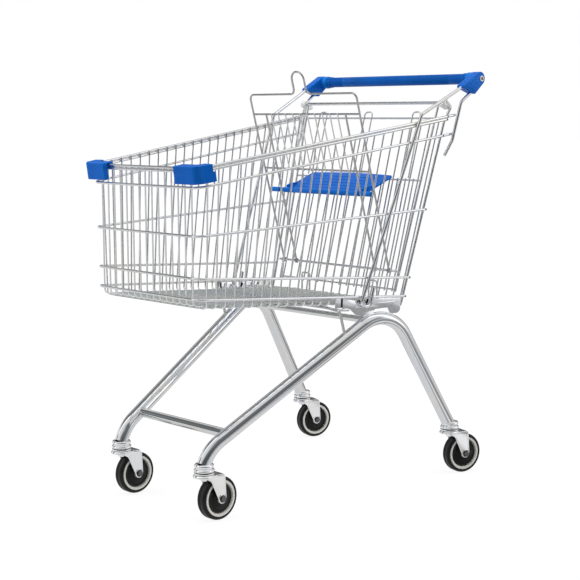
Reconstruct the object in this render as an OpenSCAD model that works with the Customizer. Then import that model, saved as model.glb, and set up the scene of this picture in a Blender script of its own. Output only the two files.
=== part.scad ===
// Rolling basket trolley with a wire basket, a folding child seat, a swing-up rear gate
// and four swivel casters. Millimetres, Z up, nose towards -Y, handle towards +Y.
// The origin lies on the floor, in the trolley's middle plane and below the middle of its length.
// The rear casters rest swivelled to one side.

/* [Basket] */
// Plane of the front wall's upright wires, distance ahead of the origin
front_y = 412; // [400:1:415]
// Half width between the side walls at the front, at rim height
front_half = 188; // [180:1:190]
// Spread of each side wall per mm of length towards the back
wall_spread = 0.088; // [0.08:0.001:0.09]
// Flare of each side wall per mm of height
wall_flare = 0.030; // [0.025:0.001:0.03]
// Height of the rim's middle line at the front
rim_front_z = 788; // [784:1:792]
// Height of the rim's middle line at the back
rim_rear_z = 893; // [888:1:896]
// Height of the floor at the front wall
floor_front_z = 487; // [482:1:490]
// Height of the floor at the back edge
floor_rear_z = 445; // [443:1:448]
// Diameter of the mesh wires
mesh_d = 4; // [3.6:0.1:4]
// Diameter of the hoops round the basket
hoop_d = 6; // [5.5:0.1:6]
// Diameter of the two rim wires
rim_d = 6.5; // [6:0.1:6.5]
// Upright wires in the front wall
front_wires = 15; // [11:2:15]
// Upright wires in each side wall
side_wires = 24; // [18:1:24]

/* [Handle] */
// Height of the handle's axis
handle_z = 989; // [985:1:990]
// Distance of the handle's axis behind the origin
handle_y = 419; // [416:1:420]
// Diameter of the plastic sleeve
sleeve_d = 27; // [26:0.5:28]
// Half length of the sleeve between the end caps
sleeve_half = 244; // [240:1:246]
// Diameter of the rods that carry the handle
rod_d = 8; // [7:0.5:8]

/* [Base] */
// Diameter of the bent side tubes
tube_d = 32; // [30:1:32]
// Half distance between the front caster swivels
front_track = 153; // [150:1:155]
// Half distance between the rear caster swivels
rear_track = 267; // [264:1:268]
// Front swivel axis, distance ahead of the origin
front_swivel_y = 380; // [378:1:382]
// Rear swivel axis, distance behind the origin
rear_swivel_y = 332; // [330:1:334]

/* [Casters] */
// Wheel diameter
wheel_d = 100; // [96:1:100]
// Width of the tyre
tyre_w = 28; // [24:1:28]
// Distance from the swivel axis back to the wheel's axle
trail = 37; // [35:1:38]
// Rest angle of the right rear caster, from straight behind its swivel
rear_right_turn = 16; // [0:1:30]
// Rest angle of the left rear caster
rear_left_turn = 15; // [0:1:20]

/* [Gate and seat] */
// Lean of the gate from the vertical
gate_tilt = 16; // [15.8:0.1:16.2]
// Length of the gate below its top bar
gate_drop = 478; // [474:1:480]
// Lean of the seat back from the vertical
seat_tilt = 15.4; // [15:0.1:15.6]
// Rise of the seat plate towards the back
plate_tilt = 20.9; // [20:0.1:21.5]
// Depth of the seat plate from its hinge wire
plate_depth = 122; // [116:1:123]

/* [Hidden] */
$fn = 32;

zinc = [0.78, 0.80, 0.82];
blue = [0.02, 0.30, 0.68];
black = [0.08, 0.08, 0.09];
white = [0.93, 0.93, 0.90];

// Gaps: between wires that are welded side by side, and round a turning or push fit
weld_gap = 0.02;
fit_gap = 0.05;

// The line of the side walls' back edges: y = edge_y0 + edge_lean * z
edge_lean = 0.29;
edge_y0 = 59.5;
wall_n = norm([1, wall_spread, wall_flare]);
corner_r = 24;

// ---------- vectors and wires ----------
function unit(v) = v / norm(v);
function mirror_x(p) = [-p.x, p.y, p.z];
function polar(a) = [cos(a), sin(a)];
function arc(c, r, a0, a1, n) = [for (i = [0 : n]) c + r * polar(a0 + (a1 - a0) * i / n)];

// Half width of the side wall's mesh plane, and a point on the wall, off mm outside that plane
function wall_x(y, z) = front_half + wall_spread * (y + front_y) + wall_flare * (z - rim_front_z);
function wall_p(y, z, off) = [wall_x(y, z) + off * wall_n, y, z];
function edge_y(z) = edge_y0 + edge_lean * z;
function sloped(z0, z1, y) = z0 + (z1 - z0) * (y + front_y) / (edge_y(z1) + front_y);
function floor_z(y) = sloped(floor_front_z, floor_rear_z, y);
function rim_z(y) = sloped(rim_front_z, rim_rear_z, y);
function outside(d) = (mesh_d + d) / 2 + weld_gap;

module rod(p, q, d) {
    v = q - p;
    translate(p) rotate([0, acos(v.z / norm(v)), atan2(v.y, v.x)]) cylinder(d = d, h = norm(v));
}

// Bend radius at corner i: r is one radius, or one for each point
function bend_r(r, i) = is_num(r) ? r : r[i];
// How far before corner i of a path its bend begins
function setback(pts, i, r) = i <= 0 || i >= len(pts) - 1 ? 0
    : bend_r(r, i) * tan(acos(unit(pts[i] - pts[i - 1]) * unit(pts[i + 1] - pts[i])) / 2);

// A true torus bend at corner b, with a ring just proud of the wire at each end of it
module bend(a, b, c, d, r) {
    u = unit(b - a);
    v = unit(c - b);
    angle = acos(u * v);
    n = unit(v - (v * u) * u);
    start = b - r * tan(angle / 2) * u;
    end = b + r * tan(angle / 2) * v;
    o = start + r * n;
    z = cross(-n, u);
    multmatrix([[-n.x, u.x, z.x, o.x], [-n.y, u.y, z.y, o.y], [-n.z, u.z, z.z, o.z], [0, 0, 0, 1]])
        rotate_extrude(angle = angle) translate([r, 0]) circle(d = d);
    rod(start - 0.5 * u, start + 0.5 * u, d + 0.1);
    rod(end - 0.5 * v, end + 0.5 * v, d + 0.1);
}

// A round wire or tube along a path of points, with every corner bent to radius r
module wire(pts, d, r) {
    for (i = [0 : len(pts) - 2]) {
        u = unit(pts[i + 1] - pts[i]);
        rod(pts[i] + setback(pts, i, r) * u, pts[i + 1] - setback(pts, i + 1, r) * u, d);
    }
    if (len(pts) > 2)
        for (i = [1 : len(pts) - 2]) bend(pts[i - 1], pts[i], pts[i + 1], d, bend_r(r, i));
}

module both_sides() {
    children();
    mirror([1, 0, 0]) children();
}

// ---------- base frame ----------
track_slope = (rear_track - front_track) / (rear_swivel_y + front_swivel_y);
function tube_p(y, z) = [front_track + track_slope * (y + front_swivel_y), y, z];
tube_low_y = 364;
tube_low_z = 166;
tube_high_y = 139;
tube_high_z = 450;
tube_path = [tube_p(-front_swivel_y - 1, 131), tube_p(-tube_low_y, tube_low_z),
    tube_p(tube_high_y, tube_high_z), tube_p(rear_swivel_y - 5, 131)];
tube_bend = 95;
// Axis of the tube's long straight run, and that run's slope
tube_rise = (tube_high_z - tube_low_z) / (tube_high_y + tube_low_y);
function run_z(y) = tube_low_z + tube_rise * (y + tube_low_y);
function run_p(y) = tube_p(y, run_z(y));

module side_tube() { color(zinc) wire(tube_path, tube_d, tube_bend); }

cross_y = -317;
cross_d = 22;
module front_cross_tube() {
    end = run_p(cross_y);
    color(zinc) difference() {
        rod(mirror_x(end), end, cross_d);
        both_sides() rod(run_p(cross_y - 25), run_p(cross_y + 25), tube_d + 2 * fit_gap);
    }
}

bar_y = 94;
bar_z = 411;
bar_d = 16;
module upper_cross_bar() {
    end = tube_p(bar_y, bar_z);
    color(zinc) difference() {
        rod(mirror_x(end), end, bar_d);
        both_sides() wire(tube_path, tube_d + 2 * fit_gap, tube_bend);
    }
}

// Bent rods that hold the floor up off the side tubes
strut_d = 7;
strut_top_y = -46;
module support_struts() {
    top_z = floor_z(strut_top_y) - (strut_d + mesh_d) / 2 - 2 * weld_gap;
    top = tube_p(strut_top_y, top_z);
    color(zinc) both_sides() difference() {
        wire([[110, top.y, top.z], top, tube_p(-9, 444), run_p(7) + [0, 0, 6]], strut_d, 7);
        rod(run_p(-40), run_p(50), tube_d + 2 * fit_gap);
    }
}

// The plane that plates and rods on the side wall lie in, off mm outside the mesh plane:
// u runs back along it, v up it, and w out of it
wall_u = unit([wall_spread, 1, 0]);
wall_w = unit([1, -wall_spread, -wall_flare]);
wall_v = cross(wall_w, wall_u);
function wall_uv(y, z) = let (p = wall_p(y, z, 0) - wall_p(0, 0, 0)) [p * wall_u, p * wall_v];
module on_wall(off) {
    o = wall_p(0, 0, off);
    multmatrix([[wall_u.x, wall_v.x, wall_w.x, o.x], [wall_u.y, wall_v.y, wall_w.y, o.y],
        [wall_u.z, wall_v.z, wall_w.z, o.z], [0, 0, 0, 1]]) children();
}

plate_t = 3;
hook_y = 59;
module side_plate() {
    front = -5;
    back = 180;
    foot = 424;
    window_z = 440;
    function top_z(y) = hoop_z(hoop_bottom, y) - hoop_d / 2 - 0.3;
    outline = concat([[front, top_z(front)], [front, 448], [front + 24, 446], [front + 39, 433]],
        [[front + 61, foot], [front + 86, foot]],
        [[front + 100, window_z], [front + 145, window_z], [front + 152, foot]],
        arc([back - 10, foot + 10], 10, -90, 0, 6), [[back, top_z(back)]]);
    color(zinc) difference() {
        on_wall(mesh_d / 2 + 0.1)
            linear_extrude(plate_t) polygon([for (p = outline) wall_uv(p.x, p.y)]);
        on_wall(0) translate(wall_uv(hook_y, top_z(hook_y) - 2)) cylinder(r = 17, h = 20);
        on_wall(0) translate(wall_uv(front + 14, 460)) cylinder(r = 4, h = 20);
        wire(tube_path, tube_d + 2 * fit_gap, tube_bend);
    }
}

// ---------- basket ----------
// Each hoop is a wire that goes round the front and both sides: [height at the front, height at the back]
hoop_upper = [750, 850];
hoop_middle = [645, 672];
hoop_lower = [553, 508];
hoop_bottom = [507, 463];
rim_pitch = 7;
hoop_over = 3.5;
function hoop_z(h, y) = h[0] + (h[1] - h[0]) * (y + front_y) / (edge_y(h[1]) + front_y);

// past is how far the ends run on behind the back edge
module hoop(h, d, past) {
    off = outside(d);
    nose_y = -front_y - off;
    tail_y = edge_y(h[1]) + past;
    nose = wall_p(nose_y, hoop_z(h, nose_y), off);
    tail = wall_p(tail_y, hoop_z(h, tail_y), off);
    wire([tail, nose, mirror_x(nose), mirror_x(tail)], d, corner_r);
}

module top_rim() {
    color(zinc) {
        hoop([rim_front_z, rim_rear_z] + rim_pitch / 2 * [1, 1], rim_d, 26);
        hoop([rim_front_z, rim_rear_z] - rim_pitch / 2 * [1, 1], rim_d, hoop_over);
    }
}
module hoop_node(h, past) { color(zinc) hoop(h, hoop_d, past); }

// Upright wires of a side wall: they fan out upwards, and turn in under the floor
mesh_bend = 12;
floor_end = 26;
side_first = 22;
side_pitch_low = (edge_y(floor_rear_z) + front_y - side_first - 9) / (side_wires - 1);
side_pitch_high = (edge_y(rim_rear_z) + front_y - side_first - 20) / (side_wires - 1);
function side_low_y(i) = -front_y + side_first + side_pitch_low * i;
function side_high_y(i) = -front_y + side_first + side_pitch_high * i;
module side_mesh() {
    color(zinc) for (i = [0 : side_wires - 1]) {
        low = side_low_y(i);
        high = side_high_y(i);
        corner = wall_p(low, floor_z(low), 0);
        wire([wall_p(high, rim_z(high) + rim_pitch / 2 + 1, 0), corner, corner - [floor_end, 0, 0]], mesh_d, mesh_bend);
    }
}

// Upright wires of the front wall, which turn back on top of the floor's cross wires
front_half_mesh = front_half - 26;
function front_x(i) = front_half_mesh * (2 * i / (front_wires - 1) - 1);
long_up = mesh_d + weld_gap;
module front_mesh() {
    color(zinc) for (i = [0 : front_wires - 1]) {
        x = front_x(i);
        wire([[x, -front_y, rim_front_z + rim_pitch / 2 + 1], [x, -front_y, floor_z(-front_y) + long_up],
            [x, -front_y + floor_end, floor_z(-front_y + floor_end) + long_up]], mesh_d, mesh_bend);
    }
}

module floor_mesh() {
    tail = edge_y(floor_rear_z) - 1;
    head = -front_y + floor_end + weld_gap;
    color(zinc) {
        for (i = [0 : side_wires - 1]) {
            end = wall_p(side_low_y(i), floor_z(side_low_y(i)), 0) - [floor_end + weld_gap, 0, 0];
            rod(mirror_x(end), end, mesh_d);
        }
        for (i = [0 : front_wires - 1])
            rod([front_x(i), head, floor_z(head) + long_up], [front_x(i), tail, floor_z(tail) + long_up], mesh_d);
    }
}

// Thick bar under the back edge of the floor, with two upright loops that stop the gate
end_bar_d = 7;
module floor_end_bar() {
    y = edge_y(floor_rear_z) + 4;
    z = floor_z(y) - 1.5;
    end = wall_x(y, z) - 5;
    stop_y = gate_y(gate_stop_z) + (cross_t + gate_wire_d / 2 + 2.5) / cos(gate_tilt) + 0.6;
    color(zinc) {
        rod([-end, y, z], [end, y, z], end_bar_d);
        both_sides() translate([120, 0, 0])
            wire([[-14, y, z], [-14, stop_y, z], [-14, stop_y, gate_stop_z + 14],
                [14, stop_y, gate_stop_z + 14], [14, stop_y, z], [14, y, z]], 5, 6);
    }
}

// Post along the back edge of a side wall, with its top turned in to carry the gate's bearing clip
post_d = 6.5;
post_off = (mesh_d - post_d) / 2;
post_foot_z = 447;
post_bend_z = 885;
post_top = [0, 338, 921];
clip_x = 243;
module rear_post() {
    function post_p(z) = wall_p(edge_y(z) - 1, z, post_off);
    color(zinc) wire([post_p(post_foot_z), post_p(post_bend_z), wall_p(post_top.y, post_top.z, post_off),
        [clip_x - 6, post_top.y, post_top.z]], post_d, 6);
}

// ---------- handle ----------
rod_off = outside(rim_d) + (rim_d + rod_d) / 2 + weld_gap;
function rod_p(y, z) = wall_p(y, z, rod_off);
front_rod_path = [rod_p(84, 494), rod_p(74, 451), rod_p(42, 451), rod_p(224, 901.5), rod_p(395, 987)];
rear_rod_path = [rod_p(304.5, 801), rod_p(330, 838), rod_p(356.5, 932), rod_p(408, 969.5)];
front_rod_bend = 11;
rear_rod_bend = 18;
module handle_front_rod() { color(zinc) wire(front_rod_path, rod_d, front_rod_bend); }
module handle_rear_rod() { color(zinc) wire(rear_rod_path, rod_d, rear_rod_bend); }

core_d = 20;
cap_in = sleeve_half + 0.1;
cap_out = 285;
module handle_tube() {
    reach = cap_out - 10;
    color(zinc) translate([-reach, handle_y, handle_z]) rotate([0, 90, 0]) cylinder(d = core_d, h = 2 * reach);
}
module along_x(y, z, d, x0, x1) {
    translate([x0, y, z]) rotate([0, 90, 0]) cylinder(d = d, h = x1 - x0);
}
module handle_sleeve() {
    color(blue) difference() {
        union() {
            along_x(handle_y, handle_z, sleeve_d, -sleeve_half, sleeve_half);
            both_sides() along_x(handle_y, handle_z, sleeve_d + 2, sleeve_half - 14, sleeve_half);
        }
        along_x(handle_y, handle_z, core_d + 2 * fit_gap, -sleeve_half - 1, sleeve_half + 1);
    }
}

cap_r = 16.5;
function beyond(path, i, extra) = path[i] + extra * unit(path[i] - path[i - 1]);
module handle_cap() {
    body = concat(arc([-2, 0.5], cap_r, -51, 119, 22), arc([-62, -19.8], 4.5, 119, 250, 8),
        arc([-24, -32.5], 5, 250, 309, 6));
    color(blue) difference() {
        translate([cap_in, handle_y, handle_z]) rotate([90, 0, 90]) linear_extrude(cap_out - cap_in) polygon(body);
        along_x(handle_y, handle_z, core_d + 2 * fit_gap, cap_in - 1, cap_out - 10 + 0.1);
        rod(front_rod_path[3], beyond(front_rod_path, 4, 0.1), rod_d + 2 * fit_gap);
        rod(rear_rod_path[2], beyond(rear_rod_path, 3, 0.1), rod_d + 2 * fit_gap);
    }
}

// ---------- bumpers ----------
// Everything here is drawn in the rim's own sloping plane: z counts from the rim's middle line
rim_mid = [rim_front_z, rim_rear_z];
rim_off = outside(rim_d);
nose_y = -front_y - rim_off;
rim_slope = atan((rim_rear_z - rim_front_z) / (edge_y(rim_rear_z) + front_y));
side_angle = atan(wall_spread);
bumper_inner_x = 127;
bumper_low = -28.5;
bumper_high = 10.5;
cover_end_y = -391;
face_out = 17.43;
skirt_end_y = -385;
// Middle of the rim's bend, and a point on the rim's side run, off mm outside its middle line
bend_c = [wall_x(nose_y, rim_front_z) + rim_off * wall_n + wall_spread * corner_r - corner_r / cos(side_angle),
    nose_y + corner_r];
function side_pt(off, y) = let (p = bend_c + (corner_r + off) * [cos(side_angle), -sin(side_angle)])
    p + (y - p.y) * [wall_spread, 1];
// Plan outlines: the inside edge runs off mm outside the rim's middle line
function inner_edge(off, tail) = concat([side_pt(off, tail)],
    arc(bend_c, corner_r + off, -side_angle, -90, 14), [[bumper_inner_x, nose_y - off]]);
function outer_edge(tail) = concat([[bumper_inner_x, nose_y - face_out]],
    arc([190, nose_y - face_out + 5], 5, -90, -46, 5),
    [[207, nose_y - 4.2], [207 + (tail - nose_y + 4.2) * 0.17, tail]]);
module bumper_layer(off, tail, z0, z1) {
    translate([0, 0, z0]) linear_extrude(z1 - z0) polygon(concat(outer_edge(tail), inner_edge(off, tail)));
}
module bumper() {
    // The two rim wires lie one above the other, so in this plane one is nearer the face than the other
    skin = rim_d / 2 + 0.8;
    behind = -(rim_d / 2 + mesh_d + 1.1);
    wall = 4;
    edge = inner_edge(behind, cover_end_y);
    color(blue) translate([0, nose_y, hoop_z(rim_mid, nose_y)]) rotate([rim_slope, 0, 0]) translate([0, -nose_y, 0]) {
        bumper_layer(skin, skirt_end_y, bumper_low, -6.4);
        bumper_layer(skin, cover_end_y, -6.5, bumper_high);
        bumper_layer(behind - wall, cover_end_y, (rim_pitch + rim_d) / 2 + 0.4, bumper_high);
        translate([0, 0, -9]) linear_extrude(bumper_high + 9) polygon(concat(
            [for (i = [len(edge) - 1 : -1 : 0]) edge[i]], inner_edge(behind - wall, cover_end_y)));
    }
}

// ---------- rear gate ----------
gate_top = [0, 324, 930];
gate_bar_d = 8;
gate_post_d = 6;
gate_wire_d = 5;
gate_half_top = 229;
gate_half_low = 205;
function gate_y(z) = gate_top.y - tan(gate_tilt) * (gate_top.z - z);
function gate_s(z) = (z - gate_top.z) / cos(gate_tilt);
function gate_half(s) = gate_half_top + (gate_half_low - gate_half_top) * s / -gate_drop;
// Gate frame of reference: x across, y out of the back, z up along the gate from the top bar
module on_gate() { translate(gate_top) rotate([-gate_tilt, 0, 0]) children(); }
gate_stop_s = -gate_drop + 6;
gate_stop_z = gate_top.z + gate_stop_s * cos(gate_tilt);
seat_wire_s = gate_s(741);
leg_wire_s = gate_s(893);
cross_t = (mesh_d + gate_wire_d) / 2 + weld_gap;
// Hinge wire of the seat, carried clear of the gate's mesh on the basket side
hinge_t = -16;
hinge_s = -429;
hinge_d = 6;
module gate_cross(s) {
    rod([-gate_half(s), cross_t, s], [gate_half(s), cross_t, s], gate_wire_d);
}
module gate_frame() {
    reach = clip_x + 6;
    hinge_x = gate_half(hinge_s);
    color(zinc) on_gate() {
        rod([-reach, 0, 0], [reach, 0, 0], gate_bar_d);
        both_sides() rod([gate_half(0), 0, 0], [gate_half(-gate_drop), 0, -gate_drop], gate_post_d);
        gate_cross(leg_wire_s);
        gate_cross(seat_wire_s);
        gate_cross(gate_stop_s);
        wire([[-hinge_x, 0, hinge_s], [-hinge_x, hinge_t, hinge_s], [hinge_x, hinge_t, hinge_s],
            [hinge_x, 0, hinge_s]], hinge_d, 7);
    }
}
gate_pitch = 26;
leg_loop_x = 164;
module gate_mesh() {
    color(zinc) on_gate() for (i = [0 : 7]) both_sides()
        rod([gate_pitch * (i + 0.5), 0, seat_wire_s + 4], [gate_pitch * (i + 0.5), 0, -gate_drop], mesh_d);
}
// Bent wires that frame the two leg openings, above the seat wire
module gate_leg_wires() {
    low = seat_wire_s + 4.2;
    high = leg_wire_s + 15;
    color(zinc) on_gate() for (x = [-leg_loop_x, 0, leg_loop_x]) translate([x, 0, 0])
        wire([[-gate_pitch / 2, 0, low], [-gate_pitch / 2, 0, high], [gate_pitch / 2, 0, high],
            [gate_pitch / 2, 0, low]], mesh_d, 9);
}

// White clip that the gate's top bar turns in, held on the turned-in top of the rear post
module hinge_clip() {
    half = 8;
    to_post = [post_top.y - gate_top.y, post_top.z - gate_top.z];
    aim = atan2(to_post.y, to_post.x);
    color(white) difference() {
        translate([clip_x - half, gate_top.y, gate_top.z]) rotate([90, 0, 90]) linear_extrude(2 * half)
            polygon(concat(arc([0, 0], 10, aim + 70, aim + 290, 24), arc(to_post, 7.5, aim - 75, aim + 75, 12)));
        along_x(gate_top.y, gate_top.z, gate_bar_d + 2 * fit_gap, clip_x - half - 1, clip_x + half + 1);
        along_x(post_top.y, post_top.z, post_d + 4 * fit_gap, clip_x - 6.1, clip_x + half + 1);
    }
}

// ---------- child seat ----------
hinge_at = gate_top + [0, hinge_t * cos(gate_tilt) + hinge_s * sin(gate_tilt),
    hinge_s * cos(gate_tilt) - hinge_t * sin(gate_tilt)];
// Seat frame of reference: z runs up the seat back from its hinge wire
module on_seat() { translate(hinge_at) rotate([seat_tilt, 0, 0]) children(); }
seat_wire_d = 5;
seat_mesh_d = 3.5;
seat_half = 187;
seat_leg_x = 140;
seat_top_s = 447;
seat_bar_s = 396;
seat_low_s = 253;
plate_wire_s = 196;
loop_half = 21;
loop_rise = 55.5;
eye_d = 13;
module eye() {
    difference() {
        translate([-3, 0, 0]) rotate([0, 90, 0]) cylinder(d = eye_d, h = 6);
        translate([-4, 0, 0]) rotate([0, 90, 0]) cylinder(d = hinge_d + 2 * fit_gap, h = 8);
    }
}
module seat_back_frame() {
    stub = hinge_d / 2 + 1.5;
    color(zinc) on_seat() {
        wire([[seat_half, 0, stub], [seat_half, 0, seat_top_s], [loop_half, 0, seat_top_s],
            [loop_half, 0, seat_top_s + loop_rise], [-loop_half, 0, seat_top_s + loop_rise],
            [-loop_half, 0, seat_top_s], [-seat_half, 0, seat_top_s], [-seat_half, 0, stub]], seat_wire_d,
            [0, 14, 14, 20, 20, 14, 14, 0]);
        rod([-seat_half, 0, seat_bar_s], [seat_half, 0, seat_bar_s], seat_wire_d);
        rod([-seat_half, 0, seat_low_s], [seat_half, 0, seat_low_s], seat_wire_d);
        rod([-seat_half, 0, plate_wire_s], [seat_half, 0, plate_wire_s], seat_wire_d);
        both_sides() {
            rod([seat_leg_x, 0, stub], [seat_leg_x, 0, seat_bar_s], seat_wire_d);
            translate([seat_leg_x, 0, 0]) eye();
            translate([seat_half, 0, 0]) eye();
        }
    }
}
module seat_back_mesh() {
    t = -(seat_wire_d + seat_mesh_d) / 2 - weld_gap;
    color(zinc) on_seat() for (i = [0 : 4]) both_sides()
        rod([gate_pitch * (i + 0.5), t, seat_low_s - 3], [gate_pitch * (i + 0.5), t, seat_bar_s + 3], seat_mesh_d);
}

// Blue seat: a barrel round its hinge wire along the front edge, and a plate that hangs just below it
plate_t_seat = 5;
barrel_half = 134;
barrel_d = 13;
module seat_plate() {
    drop = 3;
    half = 142;
    front_cut = 14;
    bow = 7;
    mid_x = half / 2;
    outline = [[-barrel_half, 0], [barrel_half, 0], [half, front_cut], [half, plate_depth - 14],
        [half - 8, plate_depth], [mid_x, plate_depth + bow - 2], [0, plate_depth + bow],
        [-mid_x, plate_depth + bow - 2], [8 - half, plate_depth], [-half, plate_depth - 14], [-half, front_cut]];
    color(blue) translate(hinge_at) rotate([seat_tilt, 0, 0]) translate([0, 0, plate_wire_s])
        rotate([plate_tilt - seat_tilt, 0, 0]) difference() {
            union() {
                translate([0, 0, -drop - plate_t_seat]) linear_extrude(plate_t_seat) polygon(outline);
                rotate([0, 90, 0]) translate([0, 0, -barrel_half]) cylinder(d = barrel_d, h = 2 * barrel_half);
            }
            rotate([0, 90, 0]) translate([0, 0, -half]) cylinder(d = seat_wire_d + 2 * fit_gap, h = 2 * half);
        }
}

// ---------- casters ----------
axle_z = wheel_d / 2;
leg_gap = tyre_w / 2 + 2.5;
leg_t = 2.5;
fork_top = 105;
cup_r = 21;
stem_d = 12;
axle_d = 8;
wheel_r_in = 36;
tyre_r_in = 42;
hub_r = 11;
// Places a caster: right or left, front or rear, the rear ones turned to their rest angles
module at_caster(side, fore) {
    x = fore ? front_track : rear_track;
    y = fore ? -front_swivel_y : rear_swivel_y;
    turn = fore ? 0 : side > 0 ? rear_right_turn : rear_left_turn;
    translate([side * x, y, 0]) rotate([0, 0, -turn]) children();
}
// Ribbed collars that hold the ends of the side tubes
module caster_collars() {
    ring_r = 23;
    color(zinc) difference() {
        for (side = [-1, 1], fore = [true, false]) at_caster(side, fore) {
            translate([0, 0, 117]) cylinder(r = ring_r - 2.5, h = 17);
            for (z = [117, 123, 129]) translate([0, 0, z]) cylinder(r = ring_r - (z - 117) * 0.1, h = 3);
        }
        for (side = [-1, 1], fore = [true, false]) at_caster(side, fore)
            translate([0, 0, 116]) cylinder(d = stem_d + 2 * fit_gap, h = 7);
        both_sides() {
            rod(tube_path[1], tube_path[0] + 0.1 * unit(tube_path[0] - tube_path[1]), tube_d + 2 * fit_gap);
            rod(tube_path[2], tube_path[3] + 0.1 * unit(tube_path[3] - tube_path[2]), tube_d + 2 * fit_gap);
        }
    }
}
// Kingpin, fixed in the collar, with the upper bearing cup on it and its riveted head below
module swivel_stems() {
    color(zinc) for (side = [-1, 1], fore = [true, false]) at_caster(side, fore) {
        translate([0, 0, 97]) cylinder(d = stem_d, h = 25);
        translate([0, 0, 95]) cylinder(r = 9, h = 102 - 95 - 0.1);
        translate([0, 0, 111.5]) cylinder(r = cup_r, h = 5.3);
    }
}
module fork() {
    leg = concat(arc([trail, axle_z], 11, -150, 20, 16), [[25, 96], [25, fork_top], [-17, fork_top], [-17, 97]]);
    color(zinc) difference() {
        union() {
            both_sides() translate([leg_gap, 0, 0]) rotate([90, 0, 90]) linear_extrude(leg_t) polygon(leg);
            translate([0, 0, 102]) linear_extrude(fork_top - 102) union() {
                circle(r = 19);
                translate([-leg_gap - 1, -17]) square([2 * leg_gap + 2, 42]);
            }
            translate([0, 0, fork_top - 1]) cylinder(r = cup_r - 1, h = 6.4);
        }
        translate([0, 0, 101]) cylinder(d = stem_d + 2 * fit_gap, h = 12);
        along_x(trail, axle_z, axle_d + 2 * fit_gap, -leg_gap - 5, leg_gap + 5);
    }
}
module axle() {
    face = leg_gap + leg_t;
    color(zinc) {
        along_x(trail, axle_z, axle_d, -face - 6.5, face + 1);
        translate([face, trail, axle_z]) rotate([0, 90, 0]) cylinder(d = 15, h = 5, $fn = 6);
        translate([-face - 5, trail, axle_z]) rotate([0, 90, 0]) cylinder(d = 15, h = 5, $fn = 6);
    }
}
module around_axle(profile) {
    translate([0, trail, axle_z]) rotate([0, 90, 0]) rotate_extrude($fn = 96) polygon(profile);
}
module tyre() {
    h = tyre_w / 2;
    shoulder = 7;
    r = wheel_d / 2;
    color(black) around_axle(concat([[tyre_r_in, -h + 3]], arc([r - shoulder, -h + shoulder], shoulder, -90, 0, 6),
        arc([r - shoulder, h - shoulder], shoulder, 0, 90, 6), [[tyre_r_in, h - 3]]));
}
// Wheel centre: hub, web and the pale rim that the tyre sits on
module wheel_centre() {
    h = tyre_w / 2;
    in = axle_d / 2 + fit_gap;
    seat_r = tyre_r_in - fit_gap;
    color(white) around_axle([[in, -h - 2], [hub_r, -h - 2], [hub_r, -3], [wheel_r_in - 2, -3], [wheel_r_in, -h + 1],
        [seat_r, -h + 1], [seat_r, h - 1], [wheel_r_in, h - 1], [wheel_r_in - 2, 3], [hub_r, 3], [hub_r, h + 2], [in, h + 2]]);
}
// Black thread guards: one dished disc on each side of the web
module wheel_covers() {
    h = tyre_w / 2;
    color(black) for (s = [-1, 1])
        around_axle([[hub_r + fit_gap, s * 3.2], [wheel_r_in - 3.4, s * 3.2], [wheel_r_in - 3.4, s * (h - 3)],
            [hub_r + 6, s * (h - 1)], [hub_r + fit_gap, s * (h + 1)]]);
}

side_tube();  // side_tube_right
mirror([1, 0, 0]) side_tube();  // side_tube_left
front_cross_tube();
upper_cross_bar();
support_struts();
side_plate();  // side_plate_right
mirror([1, 0, 0]) side_plate();  // side_plate_left
caster_collars();
swivel_stems();
top_rim();
hoop_node(hoop_upper, 34);
hoop_node(hoop_middle, hoop_over);
hoop_node(hoop_lower, hoop_over);
hoop_node(hoop_bottom, hoop_over);
side_mesh();  // side_mesh_right
mirror([1, 0, 0]) side_mesh();  // side_mesh_left
front_mesh();
floor_mesh();
floor_end_bar();
rear_post();  // rear_post_right
mirror([1, 0, 0]) rear_post();  // rear_post_left
handle_front_rod();  // handle_front_rod_right
mirror([1, 0, 0]) handle_front_rod();  // handle_front_rod_left
handle_rear_rod();  // handle_rear_rod_right
mirror([1, 0, 0]) handle_rear_rod();  // handle_rear_rod_left
handle_tube();
handle_sleeve();
handle_cap();  // handle_cap_right
mirror([1, 0, 0]) handle_cap();  // handle_cap_left
bumper();  // bumper_right
mirror([1, 0, 0]) bumper();  // bumper_left
hinge_clip();  // hinge_clip_right
mirror([1, 0, 0]) hinge_clip();  // hinge_clip_left
gate_frame();
gate_mesh();
gate_leg_wires();
seat_back_frame();
seat_back_mesh();
seat_plate();
at_caster(1, true) fork();  // fork_front_right
at_caster(1, true) axle();  // axle_front_right
at_caster(1, true) tyre();  // tyre_front_right
at_caster(1, true) wheel_centre();  // wheel_front_right
at_caster(1, true) wheel_covers();  // cover_front_right
at_caster(-1, true) fork();  // fork_front_left
at_caster(-1, true) axle();  // axle_front_left
at_caster(-1, true) tyre();  // tyre_front_left
at_caster(-1, true) wheel_centre();  // wheel_front_left
at_caster(-1, true) wheel_covers();  // cover_front_left
at_caster(1, false) fork();  // fork_rear_right
at_caster(1, false) axle();  // axle_rear_right
at_caster(1, false) tyre();  // tyre_rear_right
at_caster(1, false) wheel_centre();  // wheel_rear_right
at_caster(1, false) wheel_covers();  // cover_rear_right
at_caster(-1, false) fork();  // fork_rear_left
at_caster(-1, false) axle();  // axle_rear_left
at_caster(-1, false) tyre();  // tyre_rear_left
at_caster(-1, false) wheel_centre();  // wheel_rear_left
at_caster(-1, false) wheel_covers();  // cover_rear_left
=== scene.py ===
"""Looks of the rolling basket trolley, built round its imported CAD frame.

Lengths in the shape code are millimetres in the frame's own axes; meshes are made in metres.
"""
import math
import random

import bmesh
import bpy
from mathutils import Matrix, Vector


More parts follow.
